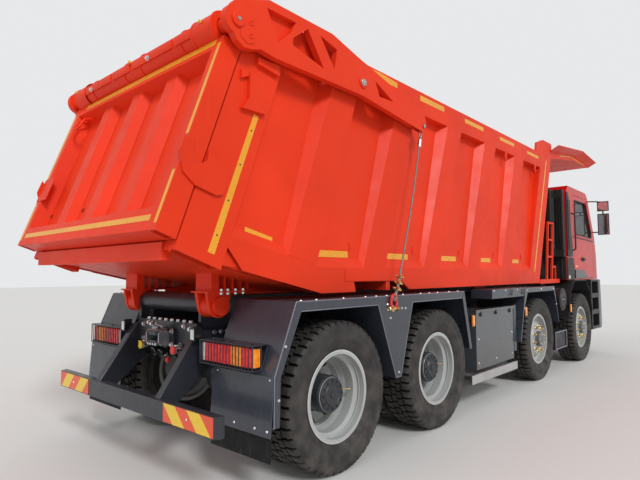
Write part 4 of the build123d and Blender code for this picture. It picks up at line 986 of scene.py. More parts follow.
def air_couplings():
    """Two palm couplings under the tow jaw, yellow and red, on plated elbows."""
    stock = Stock("zinc")
    for side, cap in ((1, "cap_yellow"), (-1, "cap_red")):
        y = side * 232
        stock.use("zinc")
        stock.turned([(0, 0), (17, 0), (17, 26), (22, 28), (22, 40), (18, 42), (18, 58),
                      (25, 60), (25, 74), (0, 74)], (-3641, y, 843), (-1, 0, -0.12), 18)
        stock.turned([(0, -34), (15, -34), (15, -16), (24, -12), (24, 12), (15, 16), (15, 30),
                      (0, 30)], (-3700, y, 838), (0, 1, 0), 16)
        stock.bolt((-3696, y - side * 4, 862), (0, 0, 1), 22, 12, False)
        stock.use(cap)
        stock.turned([(0, 0), (27, 0), (31, 3), (31, 11), (25, 15), (0, 15)],
                     (-3716, y, 836), (-1, 0, 0.12), 20)
        stock.skin([[(x, y + a, z) for a, z in rectangle(-half, half, low, high)]
                    for x, half, low, high in ((-3722, 30, 836, 846), (-3732, 22, 862, 870))])
        stock.use("black_gloss").bar(-3660, -3640, y - 32, y + 32, 815, 874)
    # Jaw of the tow coupling: cheeks, lever and guide
    stock.use("jaw_steel")
    for side in BOTH:
        stock.cheek(side, [(-3668, 868), (-3668, 962), (-3735, 974), (-3757, 950),
                           (-3757, 880), (-3735, 856)], 82, 96)
    stock.skin([[(-3672, -78, 966), (-3672, 78, 966), (-3757, 60, 968), (-3757, -60, 968)],
                [(-3672, -70, 984), (-3672, 70, 984), (-3745, 50, 980), (-3745, -50, 980)]])
    stock.turned([(0, 0), (26, 0), (30, 4), (30, 22), (22, 30), (12, 30), (12, 50), (0, 52)],
                 (-3722, 0, 978), (0, 0, 1), 20)
    stock.rod((-3722, 0, 1012), (-3730, -96, 1004), 8)
    stock.turned([(0, 0), (13, 2), (16, 12), (13, 22), (0, 24)], (-3730, -90, 1004),
                 (-0.08, -1, -0.08), 14)
    stock.use("zinc")
    for y in (-52, -18, 18, 52):
        stock.bolt((-3757, y, 868), (-1, 0, 0), 15, 8)
    stock.turned([(14, -6), (24, -6), (24, 6), (14, 6)], (-3650, -8, 790), (1, 0.3, 0), 16,
                 loop=True)
    # Elbows, valve and drain under the beam
    for y in (150, 60, -60, -140):
        stock.use("black_gloss").rod((-3600, y, 832), (-3600, y, 770), 17, 14)
        stock.rod((-3600, y, 772), (-3560, y * 0.9, 742), 12, 12)
        stock.use("zinc").turned([(0, 0), (20, 0), (20, 12), (0, 12)], (-3600, y, 812),
                                 (0, 0, 1), 6)
    stock.use("cap_red").turned([(0, 0), (14, 3), (20, 14), (20, 34), (12, 44), (0, 46)],
                                (-3640, -30, 762), (0, 0, -1), 16)
    stock.use("black_gloss")
    for y, z in ((78, 812), (-20, 806)):
        stock.turned([(0, 0), (30, 0), (30, 30), (34, 32), (34, 40), (26, 46), (0, 46)],
                     (-3662, y, z), (-1, 0, -0.35), 20)
        stock.bar(-3662, -3641, y - 26, y + 26, z - 4, z + 50)
    stock.done("air_couplings", "chassis", bevel=1.5)


def rear_fixings():
    """Bolts of the rear beam, the rails, the hinge feet and the guards."""
    back, up, out = (-1, 0, 0), (0, 0, 1), (0, 1, 0)
    beam = [((-3641, y, z), back) for y, z in (
        (-330, 990), (-330, 880), (330, 990), (330, 880), (-250, 1008), (250, 1008),
        (-205, 860), (205, 1000))]
    beam += [((-3666, y, z), back) for y in (-128, 128) for z in (866, 964)]
    beam += [((-3614, y, 1034), up) for y in range(-300, 296, 85)]
    beam += both([((x, 410, 962), out) for x in range(-3545, -3304, 60)])
    beam += both([((x, 410, z), out) for x in (-2900, -2460, -2140, -1700, -1000, -400, 300,
                                               900, 1500, 2200) for z in (800, 950)])
    fixings("beam_bolts", BIG_BOLT, beam, "zinc", "chassis")
    feet = [mark for z, way in ((1273, up), (1262, (0, 0, -1)))
            for mark in both([((x, 604, z), way) for x in (-3573, -3515, -3445, -3375)])]
    fixings("hinge_bolts", BIG_BOLT, feet, "zinc", "bed")
    guard = both([((x, 1228, 1215), up) for x in (
        -3400, -3250, -2960, -2700, -2560, -2420, -2300, -2180, -1900, -1750, -1600, -1380,
        -1200)])
    guard += both([((x, 1250, z), out) for x, z in (
        (-2430, 1105), (-2380, 1102), (-2235, 1108), (-2180, 1106), (-2400, 1040),
        (-2290, 600), (-3560, 940), (-3618, 620))])
    guard += both([((-3652, y, z), back) for y, z in (
        (690, 520), (900, 520), (1110, 520), (1215, 520), (690, 740), (1215, 740))])
    guard += both([((x, 1250, z), out) for x, z in (
        (600, 1178), (1100, 1178), (1600, 1178), (500, 960), (1700, 960))])
    fixings("guard_rivets", RIVET, guard, "zinc", "chassis")


def guard_edges():
    """Rolled edges along the guards' outlines in a pale paint, a painted highlight on the folded
    edges, and skirts over the flaps' tops.
    """
    lines = []
    skirt = Stock("guard_plastic")
    for side in BOTH:
        for edge in (
                ((-3655, 456), (-3650, 760), (-3461, 1213), (-1105, 1213), (-966, 641)),
                ((-3416, 1150), (-2560, 1150), (-2325, 561), (-2255, 561), (-2060, 1150),
                 (-1145, 1150)),
                ((362, 571), (561, 1203), (1640, 1203), (1798, 701))):
            lines.append([(x, side * 1248, z) for x, z in edge])
        lines.append([(-3656, side * 642, 457), (-3656, side * 1246, 457)])
        skirt.use("guard_plastic").cheek(side, [(-3678, 402), (-3684, 402), (-3658, 762),
                                                (-3651, 762)], 641, 1249)
        skirt.use("zinc")
        for y in (700, 900, 1100, 1215):
            skirt.bolt((-3681, side * y, 440), (-1, 0, 0.07), 13, 6)
    skirt.done("guard_skirts", "chassis", bevel=1.5)
    # Folded front flanges of the guard bar's struts, in the same pale paint: a painted highlight
    # against their shaded sides
    lines += [[(-3664, side * y, 985), (-3960, side * y, 566)]
              for side in BOTH for y in (412, 468)]
    piping("guard_edges", lines, 4.0, "guard_edge", "chassis", bend=0.012, sides=8)


lamp_housings()
tail_lamps()
number_lamps()
air_couplings()
rear_fixings()
guard_edges()


# Wire ropes and what holds them

def rope_place(side, along):
    """A point of the slightly bowed rope, from 0 at its foot to 1 at the arm."""
    foot = Vector((ROPE_FOOT[0], side * ROPE_FOOT[1], ROPE_FOOT[2]))
    run = Vector((ROPE_TOP[0], side * ROPE_TOP[1], ROPE_TOP[2])) - foot
    forward = Vector((run.z, 0, -run.x)).normalized()
    return foot + run * along + forward * (ROPE_BOW * 4 * along * (1 - along))


def ropes():
    lines = [[rope_place(side, 0.045 + 0.915 * i / 24) for i in range(25)] for side in BOTH]
    rope = grow("wire_ropes", WIRE, "rope_steel", "gate_ropes", line_mesh(lines), Lay=0.075,
                Core=0.0052, Strand=0.0034)
    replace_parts(rope, "gate_ropes")
    stock = Stock("brass")
    for side in BOTH:
        # Three clips hold the folded end above the shackle, with the tail beside the rope
        for along in (0.068, 0.100, 0.133):
            centre = rope_place(side, along)
            first, second = side_frame(unit(rope_place(side, along + 0.02) - centre))
            stock.use("brass").rod(centre - first * 30, centre + first * 30, 8, 8)
            stock.bar(centre.x - 17, centre.x + 17, centre.y - 17, centre.y + 17,
                      centre.z - 11, centre.z + 11)
            for step in (-19, 19):
                stock.bolt(centre + first * step + second * 13, second, 19, 17, False)
                stock.bolt(centre + first * step - second * 13, -second, 19, 12, False)
        stock.use("rope_steel")
        tail = [rope_place(side, a) + Vector((15, 0, 0)) for a in (0.05, 0.10, 0.165)]
        for a, b in zip(tail, tail[1:]):
            stock.rod(a, b, 6.5, 8)
        # Pressed sleeve below the arm's fork
        low = rope_place(side, 0.885)
        run = rope_place(side, 0.938) - low
        stock.use("zinc").turned([(0, 0), (11, 0), (18, 8), (19, run.length - 10),
                                  (12, run.length), (0, run.length)], low, run, 18)
    stock.done("rope_fittings", "gate_ropes", bevel=1.0)
    eyes = []
    for side in BOTH:
        top = rope_place(side, 0.955)
        tip = Vector((ARM_TIP[0], side * ROPE_TOP[1], ARM_TIP[1]))
        run = unit(tip - top)
        across = unit(Vector((run.z, 0, -run.x)))
        low = rope_place(side, 0.935)
        eyes.append([low, top + across * 17, tip - run * 6 + across * 20, tip + run * 21,
                     tip - run * 6 - across * 20, top - across * 17, low])
        low = rope_place(side, 0.062)
        foot = rope_place(side, 0.0)
        eyes.append([low] + [foot + across * a + run * b for a, b in (
            (17, 48), (14, 20), (0, 7), (-14, 20), (-17, 48))] + [low])
    piping("rope_eyes", eyes, 7.0, "rope_steel", "gate_ropes", bend=0.012, sides=10)

    # Red bow shackles on the guards' vee, with plated pins
    x, _, z = ROPE_FOOT
    bows = [[(x + a, side * 1264, z + b) for a, b in (
        (-30, -52), (-40, -4), (-26, 46), (6, 62), (36, 36), (40, -8), (28, -52))]
        for side in BOTH]
    piping("shackle_bows", bows, 12.0, "cap_red", "chassis", bend=0.026, sides=14)
    stock = Stock("brass")
    for side in BOTH:
        y = side * 1262
        stock.use("brass").rod((x - 56, y, z - 52), (x + 50, y, z - 52), 11)
        stock.bolt((x + 48, y, z - 52), (1, 0, 0), 30, 16)
        stock.bolt((x - 54, y, z - 52), (-1, 0, 0), 30, 12)
        stock.turned([(0, 0), (24, 0), (26, 3), (26, 9), (14, 12), (14, 24), (0, 24)],
                     (x, side * 1250, z - 52), (0, side, 0), 20)
        stock.use("zinc")
        for step in (-60, 62):
            stock.bolt((x + step, side * 1249, z - 18), (0, side, 0), 17, 10)
    stock.done("shackle_pins", "chassis")


def arm_fittings():
    """Pins, nipples and fork bolts of the lifting arms."""
    stock = Stock("pin_steel")
    for side in BOTH:
        out = (0, side, 0)
        x, z = ARM_TIP
        y = side * ARM_OUT
        stock.use("pin_steel")
        stock.turned([(0, -54), (14.5, -54), (14.5, 4), (19, 5), (19, 11), (0, 12)],
                     (x, y, z), out, 20)
        stock.turned([(0, 0), (15, 0), (15, 7), (0, 8)], (x, side * (ARM_IN - 1), z),
                     (0, -side, 0), 16)
        x, z = GATE_SHAFT
        stock.use("bed_paint").turned([(0, 0), (47, 0), (49, 2), (49, 12), (44, 16), (0, 16)],
                                      (x, y, z), out, 32)
        stock.use("pin_steel").bolt((x, y + side * 15, z), out, 18, 9)
    stock.done("arm_pins", "gate_arms", angle=30)
    stock = Stock("pin_steel")
    for side in BOTH:
        x, z = ARM_PIVOT
        face = side * (ARM_OUT + 12)
        out = (0, side, 0)
        stock.use("pin_steel").turned([(0, -3), (29.5, -3), (29.5, 3), (26, 7), (9, 7), (0, 7)],
                                      (x, face, z), out, 28)
        stock.use("bed_paint").turned([(31, -11), (46, -11), (46, -5), (40, 0), (31, 0)],
                                      (x, face, z), out, 32, loop=True)
        stock.use("zinc").rod((x, face + side * 5, z), (x, face + side * 17, z), 4.5, 8)
    stock.done("pivot_pins", "bed", angle=30)
    x, z = GATE_SHAFT
    fixings("grease_nipples", dome_rivet(11, 20),
            [((x - 96, y, z + 34), (-1, 0, 0.35)) for y in (954, 3, -905)], "cap_yellow",
            "tailgate")
    fixings("tube_bolts", BIG_BOLT,
            [((x - 99, y, z - 12), (-1, 0, -0.1)) for y in (659, -259)], "zinc", "tailgate")


ropes()
arm_fittings()


# Gate and bed: handle, patch plate, black discs as painted shade of drain holes, ledge bars,
# eyes, welds and corner strips

def gate_trim():
    handle = [[gate_point(*place) for place in (
        (905, 1205, -70), (905, 1150, 8), (905, 1060, 20), (780, 1060, 20), (780, 1150, 8),
        (780, 1205, -70))]]
    piping("gate_handle", handle, 9, "bed_paint", "tailgate", bend=0.035, sides=12)
    stock = Stock("bed_paint")
    stock.skin([[gate_point(y, up, out) for y, up in rectangle(1074, 880, 398, 602)]
                for out in (-1, 7)])
    # Bars clamped along the tube's lower rear
    x, z = GATE_SHAFT
    arc = [math.radians(a) for a in (158, 166, 174, 182, 190, 198)]
    sector = [(x + radius * math.cos(a), z + radius * math.sin(a))
              for radius, angles in ((99, arc), (84, arc[::-1])) for a in angles]
    for y_low, y_high in ((330, 780), (20, 290), (-560, -20), (-785, -600)):
        stock.prism(sector, "Y", y_low, y_high)
    # Flat black discs for the drain holes: painted shade in place of real holes
    stock.use("black_gloss")
    for y in (321, 932):
        stock.turned([(0, 0), (17, 0), (17, 2.5), (0, 2.5)], gate_point(y, 300, -108),
                     (-math.cos(LEAN), 0, math.sin(LEAN)), 20)
    stock.done("gate_trim", "tailgate", bevel=2)

    # Collars at the ends of the hinge tube and the cross shaft's end rings
    stock = Stock("bed_paint")
    for side in BOTH:
        for y, radius in ((796, 101), (1010, 101), (660, 93), (120, 93)):
            stock.turned([(86, -6), (radius, -6), (radius + 2, 0), (radius, 6), (86, 6)],
                         (x, side * y, z), (0, 1, 0), 48, loop=True)
    stock.done("tube_collars", "tailgate", angle=30)
    welds("gate_welds", [[gate_point(edge, 178, -109), gate_point(edge, 1205, -109)]
                         for y in (-480, 0, 480) for edge in (y - 119, y + 119)],
          "tailgate", 0.0045, 0.008, 3)


def bed_trim():
    """Lifting eyes, tick marks by the rib feet, and welds along the posts."""
    stock = Stock("bed_paint")
    for side in BOTH:
        for x in (525, 1580):
            stock.turned([(17, -7), (38, -7), (38, 7), (17, 7)], (x, side * 1062, 2869),
                         (0, 1, 0), 24, loop=True)
            stock.box(side, x - 26, x + 26, 1055, 1069, 2903, 2933)
        tick_y = wall_y(1600) + 1
        for x in (-2640, -1700, -760, 130, 1020):
            stock.box(side, x, x + 12, tick_y - 5, tick_y + 8, 1570, 1640)
    stock.done("bed_trim", "bed", bevel=3)
    lines = []
    for side in BOTH:
        for foot in (-3385, -2508, -1561, -648, 279):
            for edge in (foot, foot + 305):
                low = 1455 + max(0, KNEE_X - edge) * TAIL_RISE
                lines.append([(edge + (z - 1440) * math.tan(LEAN), side * (wall_y(z) + 3), z)
                              for z in (low, 2920)])
    welds("rib_welds", lines, "bed", 0.005, 0.011, 5)


def bed_corners():
    """Sloping strips welded into the bed's inner corners, along the floor and up the front."""
    stock = Stock("bed_paint")
    for side in BOTH:
        loops = []
        for x, floor in ((1622, FLOOR_TOP), (KNEE_X, FLOOR_TOP),
                         (KNEE_X - 682, FLOOR_TOP + 682 * TAIL_RISE)):
            y = wall_y(floor) - 7
            loops.append([(x, side * y, floor - 3),
                          (x, side * (wall_y(floor + 60) - 7), floor + 60),
                          (x, side * (y - 52), floor - 3)])
        stock.skin(loops)
        loops = []
        for z in (FLOOR_TOP, 3160):
            x = 1585 + (z - 1250) * math.tan(LEAN)
            y = wall_y(min(z, 2930)) - 7
            loops.append([(x - 62, side * y, z), (x + 1, side * y, z),
                          (x + 1, side * (y - 62), z)])
        stock.skin(loops)
    stock.done("bed_corners", "bed")


gate_trim()
bed_trim()
bed_corners()


# Tank, markers, arm webs and side lockers

def tank_trim():
    """A lid with a turned-down lip, its hooks, the filler cap and a corner angle."""
    stock = Stock("tank_paint")
    stock.bar(-756, 256, -1206, -594, 996, 1006)
    stock.bar(-758, 258, -1208, -1200, 972, 1004)
    stock.use("trim_black")
    for x in (-640, -250, 140):
        stock.bar(x - 14, x + 14, -1213, -1200, 934, 984)
        stock.bar(x - 9, x + 9, -1219, -1210, 944, 958)
    stock.use("black_gloss").turned([(0, 0), (58, 0), (60, 6), (60, 26), (52, 34), (0, 34)],
                                    (-560, -800, 1006), (0, 0, 1), 32)
    stock.use("zinc")
    for x, z in ((-700, 452), (-250, 452), (200, 452), (-700, 700), (200, 700)):
        stock.bolt((x, -1200, z), (0, -1, 0), 15, 7)
    stock.use("guard_plastic").bar(262, 340, -1203, -1196, 470, 1010)
    stock.bar(262, 340, -1203, -1060, 470, 478)
    stock.done("tank_trim", "chassis", bevel=2)


def side_markers():
    stock = Stock("lens_amber")
    for side in BOTH:
        for x, z in ((-857, 905), (620, 916), (2470, 860)):
            for finish, inner, outer, wide, tall in (("black_gloss", 1200, 1219, 30, 62),
                                                     ("lens_amber", 1216, 1232, 22, 54),
                                                     ("chassis_paint", 900, 1202, 9, 9)):
                stock.use(finish).box(side, x - wide, x + wide, inner, outer, z - tall,
                                      z + tall)
    stock.done("side_markers", "chassis", bevel=4)


def arm_webs():
    """Backing webs in the arms' first pockets, and end plates with two rimmed slots."""
    stock = Stock("bed_paint")
    for side in BOTH:
        stock.cheek(side, [(-3660, 3140), (-3355, 3140), (-3405, 3030), (-3545, 2918)],
                    1111, 1115)
        stock.cheek(side, [(-3868, 2985), (-3800, 3040), (-3745, 3030), (-3745, 2850),
                           (-3800, 2830), (-3860, 2860)], ARM_OUT, ARM_OUT + 5)
        for z in (2890, 2975):
            stock.turned([(9, 0), (20, 0), (20, 6), (9, 6)], (-3775, side * (ARM_OUT + 4), z),
                         (0, side, 0), 20, loop=True)
    stock.done("arm_webs", "gate_arms", bevel=2)


def side_lockers():
    """Shallow boxes over the tank with their brackets and latches."""
    stock = Stock("guard_plastic")
    for side in BOTH:
        stock.use("guard_plastic").cheek(side, [(-430, 1110), (-430, 1214), (600, 1214),
                                                (560, 1110)], 1000, 1244)
        for x in (-200, 380):
            stock.box(side, x, x + 60, 400, 1010, 1112, 1150)
        stock.use("black_gloss")
        for x in (60, 115, 420, 475):
            stock.cheek(side, [(x, 1132), (x + 22, 1132), (x + 50, 1198), (x + 28, 1198)],
                        1243, 1250)
        stock.use("zinc")
        for x in (-380, -60, 300):
            stock.bolt((x, side * 1244, 1195), (0, side, 0), 15, 7)
    stock.done("side_lockers", "chassis", bevel=3)


tank_trim()
side_markers()
arm_webs()
side_lockers()


# Cab: covers, trims, lamps, grille, wipers and mirrors

def front_x(z):
    """The cab's front face at this height below the windscreen."""
    return 4345 + (1700 - z) * 15 / 420 if z < 1700 else 4345 - (z - 1700) * 75 / 330


def tapered(x, half, deep, z_half):
    """A slat across the cab's front, from its back edges to its narrower face."""
    return [[(x, y, -deep), (x + half[0], y, -z_half), (x + half[0], y, z_half), (x, y, deep)]
            for y in (-half[1], half[1])]


def cab_covers():
    """Black ribbed covers behind the doors, and the trims on the doors."""
    rib = master(Stock("trim_black").skin(
        [[(-11, -1, z), (11, -1, z), (6, 11, z), (-6, 11, z)] for z in (0, 800)]))

    def ribs(name, count, start, end, turn):
        grow(name, ROW, "black_gloss", "chassis", Piece=rib, Count=count, From=start, To=end,
             Turn=(0, 0, turn))
    stock = Stock("trim_black")
    stock.prism([(2598, 1285), (2619, 1285), (2630, 1650), (2606, 1650)], "Y", -1140, 1140)
    for y in range(-1080, 1081, 180):
        stock.bar(2588, 2604, y - 12, y + 12, 1300, 1630)
    stock.done("cab_rear_panel", "chassis", bevel=4)
    for side_name, side in SIDES.items():
        stock = Stock("trim_black")
        stock.cheek(side, [(2630, 1650), (2878, 1650), (2890, 1730), (2770, 2600),
                           (2715, 2672), (2664, 2672)], 1149, 1168)
        stock.cheek(side, [(2628, 1285), (2985, 1285), (2985, 1440), (2940, 1632),
                           (2630, 1632)], 1149, 1160)
        stock.use("lens_clear").box(side, 2645, 2700, 1158, 1172, 1300, 1350)
        stock.done(f"cab_cover_{side_name}", "chassis", bevel=5)
        ribs(f"cab_cover_ribs_{side_name}", 4, (2.700, side * 1.167, 1.75),
             (2.790, side * 1.167, 1.75), 0 if side > 0 else math.pi)
        # Lower door trim, the handle in its cup and the marker
        body = f"door_{side_name}"
        stock = Stock("black_gloss")
        stock.cheek(side, [(3014, 1303), (3014, 1442), (3505, 1438), (3690, 1340),
                           (3745, 1303)], 1149.5, 1166)
        stock.use("trim_black").box(side, 3425, 3600, 1149.5, 1156, 1580, 1650)
        stock.box(side, 3440, 3585, 1166, 1180, 1606, 1630)
        for x in (3440, 3567):
            stock.box(side, x, x + 18, 1150, 1178, 1608, 1628)
        stock.use("lens_amber").box(side, 3030, 3170, 1149.5, 1160, 1482, 1512)
        stock.done(f"door_trim_{side_name}", body, bevel=3)
        window = [[(x, side * 1153, z) for x, z in line] for line in (
            ((3112, 2026), (3122, 2580), (3764, 2580), (4052, 2088), (4052, 1998),
             (3112, 2026)), ((3020, 1975), (4140, 1945)))]
        piping(f"window_trim_{side_name}", window, 9, "trim_black", body, bend=0.03, sides=10)
        rail = [[(2950, side * y, z) for y, z in ((1150, 1750), (1195, 1770), (1195, 2330),
                                                  (1150, 2350))]]
        piping(f"grab_rail_{side_name}", rail, 12, "trim_black", "chassis", bend=0.03)
    ribs("air_intake_ribs", 6, (2.301, -0.975, 1.76), (2.301, -0.685, 1.76), math.pi / 2)
    ribs("air_intake_side_ribs", 3, (2.345, -1.019, 1.76), (2.465, -1.019, 1.76), math.pi)
    ribs("louvre_ribs", 3, (2.516, -1.120, 1.76), (2.516, -1.040, 1.76), math.pi / 2)


def cab_front():
    """Grille with slats, lamps, bumper cover, service flap and wipers."""
    def across(half, low, high, off=0.0):
        return [(front_x(z) + off, y, z) for y, z in rectangle(-half, half, low, high)]
    stock = Stock("trim_black")
    stock.plate(across(880, 1330, 1660), 3)
    for side in BOTH:
        stock.use("black_gloss")
        stock.plate([(4365, side * 780, 930), (4365, side * 1150, 930),
                     (4350, side * 1150, 1180), (4350, side * 780, 1180)], 1.5, side < 0)
        for finish, inner, outer in (("lens_clear", 790, 950), ("lens_clear", 960, 1080),
                                     ("lens_amber", 1088, 1140)):
            stock.use(finish).plate(
                [(4365.5 - (z - 930) * 0.06, side * y, z)
                 for y, z in rectangle(inner, outer, 950, 1160)], 1.4, side < 0)
    stock.done("front_lamps", "chassis")
    # Bumper cover with its lamp pods and tow eye covers
    stock = Stock("guard_plastic")
    stock.skin([[(4366, -y, z), (4366 + out, -y + 18, z), (4366 + out, y - 18, z), (4366, y, z)]
                for z, y, out in ((436, 1150, 6), (470, 1188, 22), (640, 1196, 27),
                                  (880, 1196, 22), (905, 1190, 4))])
    stock.use("black_gloss").skin([[(4386, -520, z), (4394, -500, z), (4394, 500, z),
                                    (4386, 520, z)] for z in (520, 830)])
    stock.use("trim_black").bar(4386, 4396, -260, 260, 560, 672)
    for side in BOTH:
        for finish, profile, place, steps in (
                ("black_gloss", [(0, 0), (66, 0), (70, 3), (70, 8), (58, 11), (50, 6), (0, 6)],
                 (4386, side * 860, 660), 32),
                ("lens_clear", [(0, 0), (49, 0), (44, 5), (0, 7)], (4391, side * 860, 660), 32),
                ("trim_black", [(0, 0), (30, 0), (32, 3), (0, 5)], (4390, side * 640, 560),
                 24)):
            stock.use(finish).turned(profile, place, (1, 0, 0), steps)
    stock.done("bumper_cover", "chassis", bevel=3)
    # Raised service flap over the grille with its handle cups, and the frame round the grille
    stock = Stock("cab_paint").plate(across(960, 1700, 1990, 0.5), 8).use("trim_black")
    for y in (-700, 700):
        stock.bar(front_x(1720) - 4, front_x(1720) + 11, y - 70, y + 70, 1712, 1742)
    stock.done("service_flap", "chassis", bevel=4)
    edge = across(890, 1320, 1670, 4)
    piping("grille_frame", [edge + edge[:1]], 9, "cab_paint", "chassis", bend=0.03)
    bars = Stock("black_gloss").skin(tapered(0, (5, 495), 8, 5))
    grow("lower_grille", ROW, "trim_black", "chassis", Piece=master(bars), Count=5,
         From=(4.393, 0, 0.700), To=(4.393, 0, 0.810), Turn=(0, 0, 0))
    slats = Stock("trim_black").skin(tapered(-2, (6, 860), 11, 6))
    grow("grille_slats", ROW, "black_gloss", "chassis", Piece=master(slats), Count=6,
         From=((front_x(1365) + 3) * MM, 0, 1.365), To=((front_x(1625) + 3) * MM, 0, 1.625),
         Turn=(0, 0, 0))

    def screen(y, z, out):
        normal = Vector((670, 0, 370)).normalized()
        return Vector(((2700 - z) / 670 * 370 + 3900, y, z)) + normal * out
    edge = [screen(y, z, 4) for y, z in rectangle(-1015, 1015, 2075, 2625)]
    lines = [edge + edge[:1]]
    for y, tip in ((-780, -420), (-60, 330), (560, 930)):
        lines.append([screen(y, 2050, 6), screen(y, 2085, 22), screen((y + tip) / 2, 2300, 16)])
        lines.append([screen((y + tip) / 2 - 120, 2110, 10), screen(tip - 10, 2480, 10)])
    piping("screen_trim_and_wipers", lines, 8, "trim_black", "chassis", bend=0.02, sides=10)


def mirrors():
    """Two mirrors a side on tubes, their glass facing the rear."""
    stock = Stock("black_gloss")
    lines = []
    for side in BOTH:
        y_low, y_high = sorted((side * 1232, side * 1416))
        for z_low, z_high in ((2062, 2438), (2482, 2658)):
            stock.use("black_gloss").skin(
                [[(x, y, z) for y, z in rectangle(y_low + e, y_high - e, z_low + e, z_high - e)]
                 for x, e in ((4203, 0), (4240, 2), (4262, 16), (4268, 40))])
            stock.use("mirror_glass").bar(4200, 4204, y_low + 14, y_high - 14, z_low + 14,
                                          z_high - 14)
        for line in (((4215, 1146, 2112), (4236, 1250, 2112), (4236, 1300, 2112)),
                     ((3935, 1146, 2640), (4120, 1230, 2652), (4236, 1300, 2650)),
                     ((4236, 1316, 2420), (4236, 1316, 2500))):
            lines.append([(x, side * y, z) for x, y, z in line])
    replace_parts(stock.done("mirror_heads", "chassis", bevel=14, segments=3), "mirrors")
    piping("mirror_arms", lines, 11, "trim_black", "chassis", bend=0.04)


cab_covers()
cab_front()
mirrors()


# Seats with padded cushions on pedestals

def seat_pads():
    """Cushions, backs and head rests blown up by a short cloth run."""
    shapes = Stock("seat_fabric")
    for side in BOTH:
        y_low, y_high = sorted((side * 345, side * 815))
        for low, high, lean in (((3068, y_low, 1662), (3545, y_high, 1762), 0),
                                ((2942, y_low, 1742), (3036, y_high, 2190), 42),
                                ((2902, y_low + 120, 2232), (2988, y_high - 120, 2402), 10)):
            shapes.skin([[(x - lean * t, y, low[2] + (high[2] - low[2]) * t)
                          for x, y in rectangle(low[0], high[0], low[1] + e, high[1] - e)]
                         for t, e in ((0.0, 6), (0.33, 0), (0.67, 4), (1.0, 24))])
    pads = shown("seat_pads", shapes.data("seat_pads", smooth=False))
    skin = pads.modifiers.new("skin", "REMESH")
    skin.mode = "VOXEL"
    skin.voxel_size = 0.014
    settle(pads)
    start = [v.co.copy() for v in pads.data.vertices]
    cloth = pads.modifiers.new("air", "CLOTH").settings
    cloth.use_pressure = True
    cloth.uniform_pressure_force = 4.0
    cloth.effector_weights.gravity = 0.0
    cloth.quality = 4
    for number in range(1, 21):
        bpy.context.scene.frame_set(number)
    settle(pads)
    bpy.context.scene.frame_set(1)
    for vertex, place in zip(pads.data.vertices, start):
        move = vertex.co - place
        if move.length > PUFF:
            vertex.co = place + move.normalized() * PUFF
    # Sewn channels across the cushions and the backs
    for vertex in pads.data.vertices:
        x, y, z = vertex.co
        if 1.74 < z < 1.80 and x > 3.05:
            for line in (3.18, 3.31, 3.44):
                vertex.co.z -= 0.010 * math.exp(-((x - line) / 0.012) ** 2)
        if z > 1.85 and abs(abs(y) - 0.58) < 0.16 and x > 2.93:
            for line in (1.93, 2.03, 2.13):
                vertex.co.x -= 0.008 * math.exp(-((z - line) / 0.012) ** 2)
    round_off = pads.modifiers.new("smooth", "SUBSURF")
    round_off.levels = 1
    round_off.render_levels = 1
    settle(pads).shade_smooth()
    rest(pads, "chassis")
    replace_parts(pads, "seats")


def seat_bases():
    stock = Stock("trim_black")
    for side in BOTH:
        y_low, y_high = sorted((side * 480, side * 680))
        stock.skin([[(x, y, z) for x, y in rectangle(3150 + e, 3460 - e, y_low + e, y_high - e)]
                    for z, e in ((1325, 0), (1350, 22), (1600, 28), (1640, 0))])
        stock.box(side, 3090, 3530, 380, 780, 1636, 1652)
        for y in (540, 620):
            stock.rod((2915, side * y, 2180), (2935, side * y, 2250), 7)
        stock.box(side, 2985, 3060, 560, 600, 1640, 1760)
    stock.done("seat_bases", "chassis", bevel=5)


def small_trim():
    """Dots on the post stripes, rings of the filter canister and the small box's frame."""
    dots = [((-3998 + 346 * t, side * (SIDE_FACE_Y + 1), 1517 + 910 * t), (0, side, 0))
            for side in BOTH for t in (0.12, 0.36, 0.62, 0.88)]
    fixings("stripe_rivets", dome_rivet(6, 4), dots, "hub_dark", "bed")
    stock = Stock("trim_black")
    stock.turned([(0, 1188), (40, 1190), (44, 1198), (120, 1199), (126, 1192), (150, 1192),
                  (166, 1186), (166, 1160), (160, 1158), (160, 1120), (166, 1118), (166, 1100),
                  (158, 1098)], (2222, 0, 1001), (0, -1, 0), 48)
    stock.use("zinc").bolt((2222, -1190, 1001), (0, -1, 0), 18, 14)
    stock.done("filter_lid", "chassis", angle=30)
    # The small box's frame in the pale edge paint, a painted highlight round its edges
    stock = Stock("guard_edge")
    for x_low, x_high, z_low, z_high in ((1800, 2325, 306, 318), (1800, 2325, 538, 550),
                                         (1800, 1812, 306, 550), (2313, 2325, 306, 550)):
        stock.bar(x_low, x_high, -1196, -1186, z_low, z_high)
    stock.done("small_box_frame", "chassis", bevel=1.5)


seat_pads()
seat_bases()
small_trim()


# Studio and camera

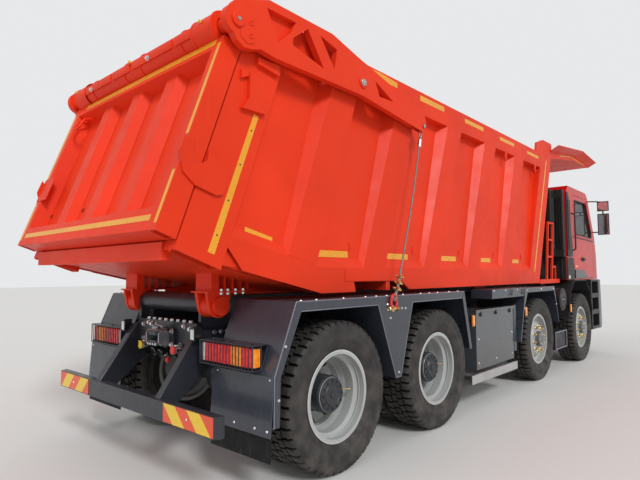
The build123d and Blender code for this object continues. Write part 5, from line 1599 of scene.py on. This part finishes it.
def studio():
    """A pale floor and backdrop with wide soft light."""
    floor_mesh = bpy.data.meshes.new("studio_floor")
    reach = 60.0
    floor_mesh.from_pydata([(x, y, 0) for x, y in rectangle(-reach, reach, -reach, reach)], [],
                           [(0, 1, 2, 3)])
    finish = Finish("studio_floor", roughness=0.75)
    floor_mesh.materials.append(finish.set(Base_Color=(0.72, 0.72, 0.71, 1.0)))
    shown("studio_floor", floor_mesh)

    world = bpy.data.worlds.new("studio")
    bpy.context.scene.world = world
    world.use_nodes = True
    tree = world.node_tree
    soft = tree.nodes["Background"]
    soft.inputs["Color"].default_value = (1.0, 0.99, 0.98, 1.0)
    soft.inputs["Strength"].default_value = 0.60
    pale = new_node(tree, "ShaderNodeBackground", None, {"Color": (0.80, 0.81, 0.82, 1.0),
                                                         "Strength": 1.0})
    path = tree.nodes.new("ShaderNodeLightPath")
    seen = new_node(tree, "ShaderNodeMath", {"operation": "MAXIMUM"}, {})
    blend = tree.nodes.new("ShaderNodeMixShader")
    for out, socket in ((path.outputs["Is Camera Ray"], seen.inputs[0]),
                        (path.outputs["Is Transmission Ray"], seen.inputs[1]),
                        (seen.outputs[0], blend.inputs["Fac"]),
                        (soft.outputs[0], blend.inputs[1]), (pale.outputs[0], blend.inputs[2]),
                        (blend.outputs[0], tree.nodes["World Output"].inputs["Surface"])):
        tree.links.new(out, socket)

    for name, direction, strength, angle in (("key", (0.35, 0.75, -0.62), 1.65, 14.0),
                                             ("fill", (0.8, -0.3, -0.5), 0.38, 40.0)):
        lamp = bpy.data.lights.new(name, "SUN")
        lamp.energy = strength
        lamp.angle = math.radians(angle)
        holder = shown(name, lamp)
        holder.rotation_mode = "QUATERNION"
        holder.rotation_quaternion = Vector(direction).to_track_quat("-Z", "Y")


CAMERA_PLACE = (-5.781, -3.542, 1.392)
CAMERA_YAW = math.radians(41.973)
CAMERA_PITCH = math.radians(3.846)
CAMERA_ROLL = math.radians(-0.253)
CAMERA_LENS = 28.357


def camera():
    """The photograph's viewpoint, low behind the right rear corner."""
    forward = Vector((math.cos(CAMERA_YAW) * math.cos(CAMERA_PITCH),
                      math.sin(CAMERA_YAW) * math.cos(CAMERA_PITCH), math.sin(CAMERA_PITCH)))
    level = Vector((math.sin(CAMERA_YAW), -math.cos(CAMERA_YAW), 0))
    upright = level.cross(forward)
    right = level * math.cos(CAMERA_ROLL) + upright * math.sin(CAMERA_ROLL)
    up = upright * math.cos(CAMERA_ROLL) - level * math.sin(CAMERA_ROLL)
    data = bpy.data.cameras.new("camera")
    data.lens = CAMERA_LENS
    data.sensor_width = 36.0
    data.clip_end = 300.0
    holder = shown("camera", data)
    holder.matrix_world = Matrix([(right[i], up[i], -forward[i], CAMERA_PLACE[i])
                                  for i in range(3)] + [(0, 0, 0, 1)])
    bpy.context.scene.camera = holder


studio()
camera()
bpy.context.scene.view_settings.view_transform = "Standard"
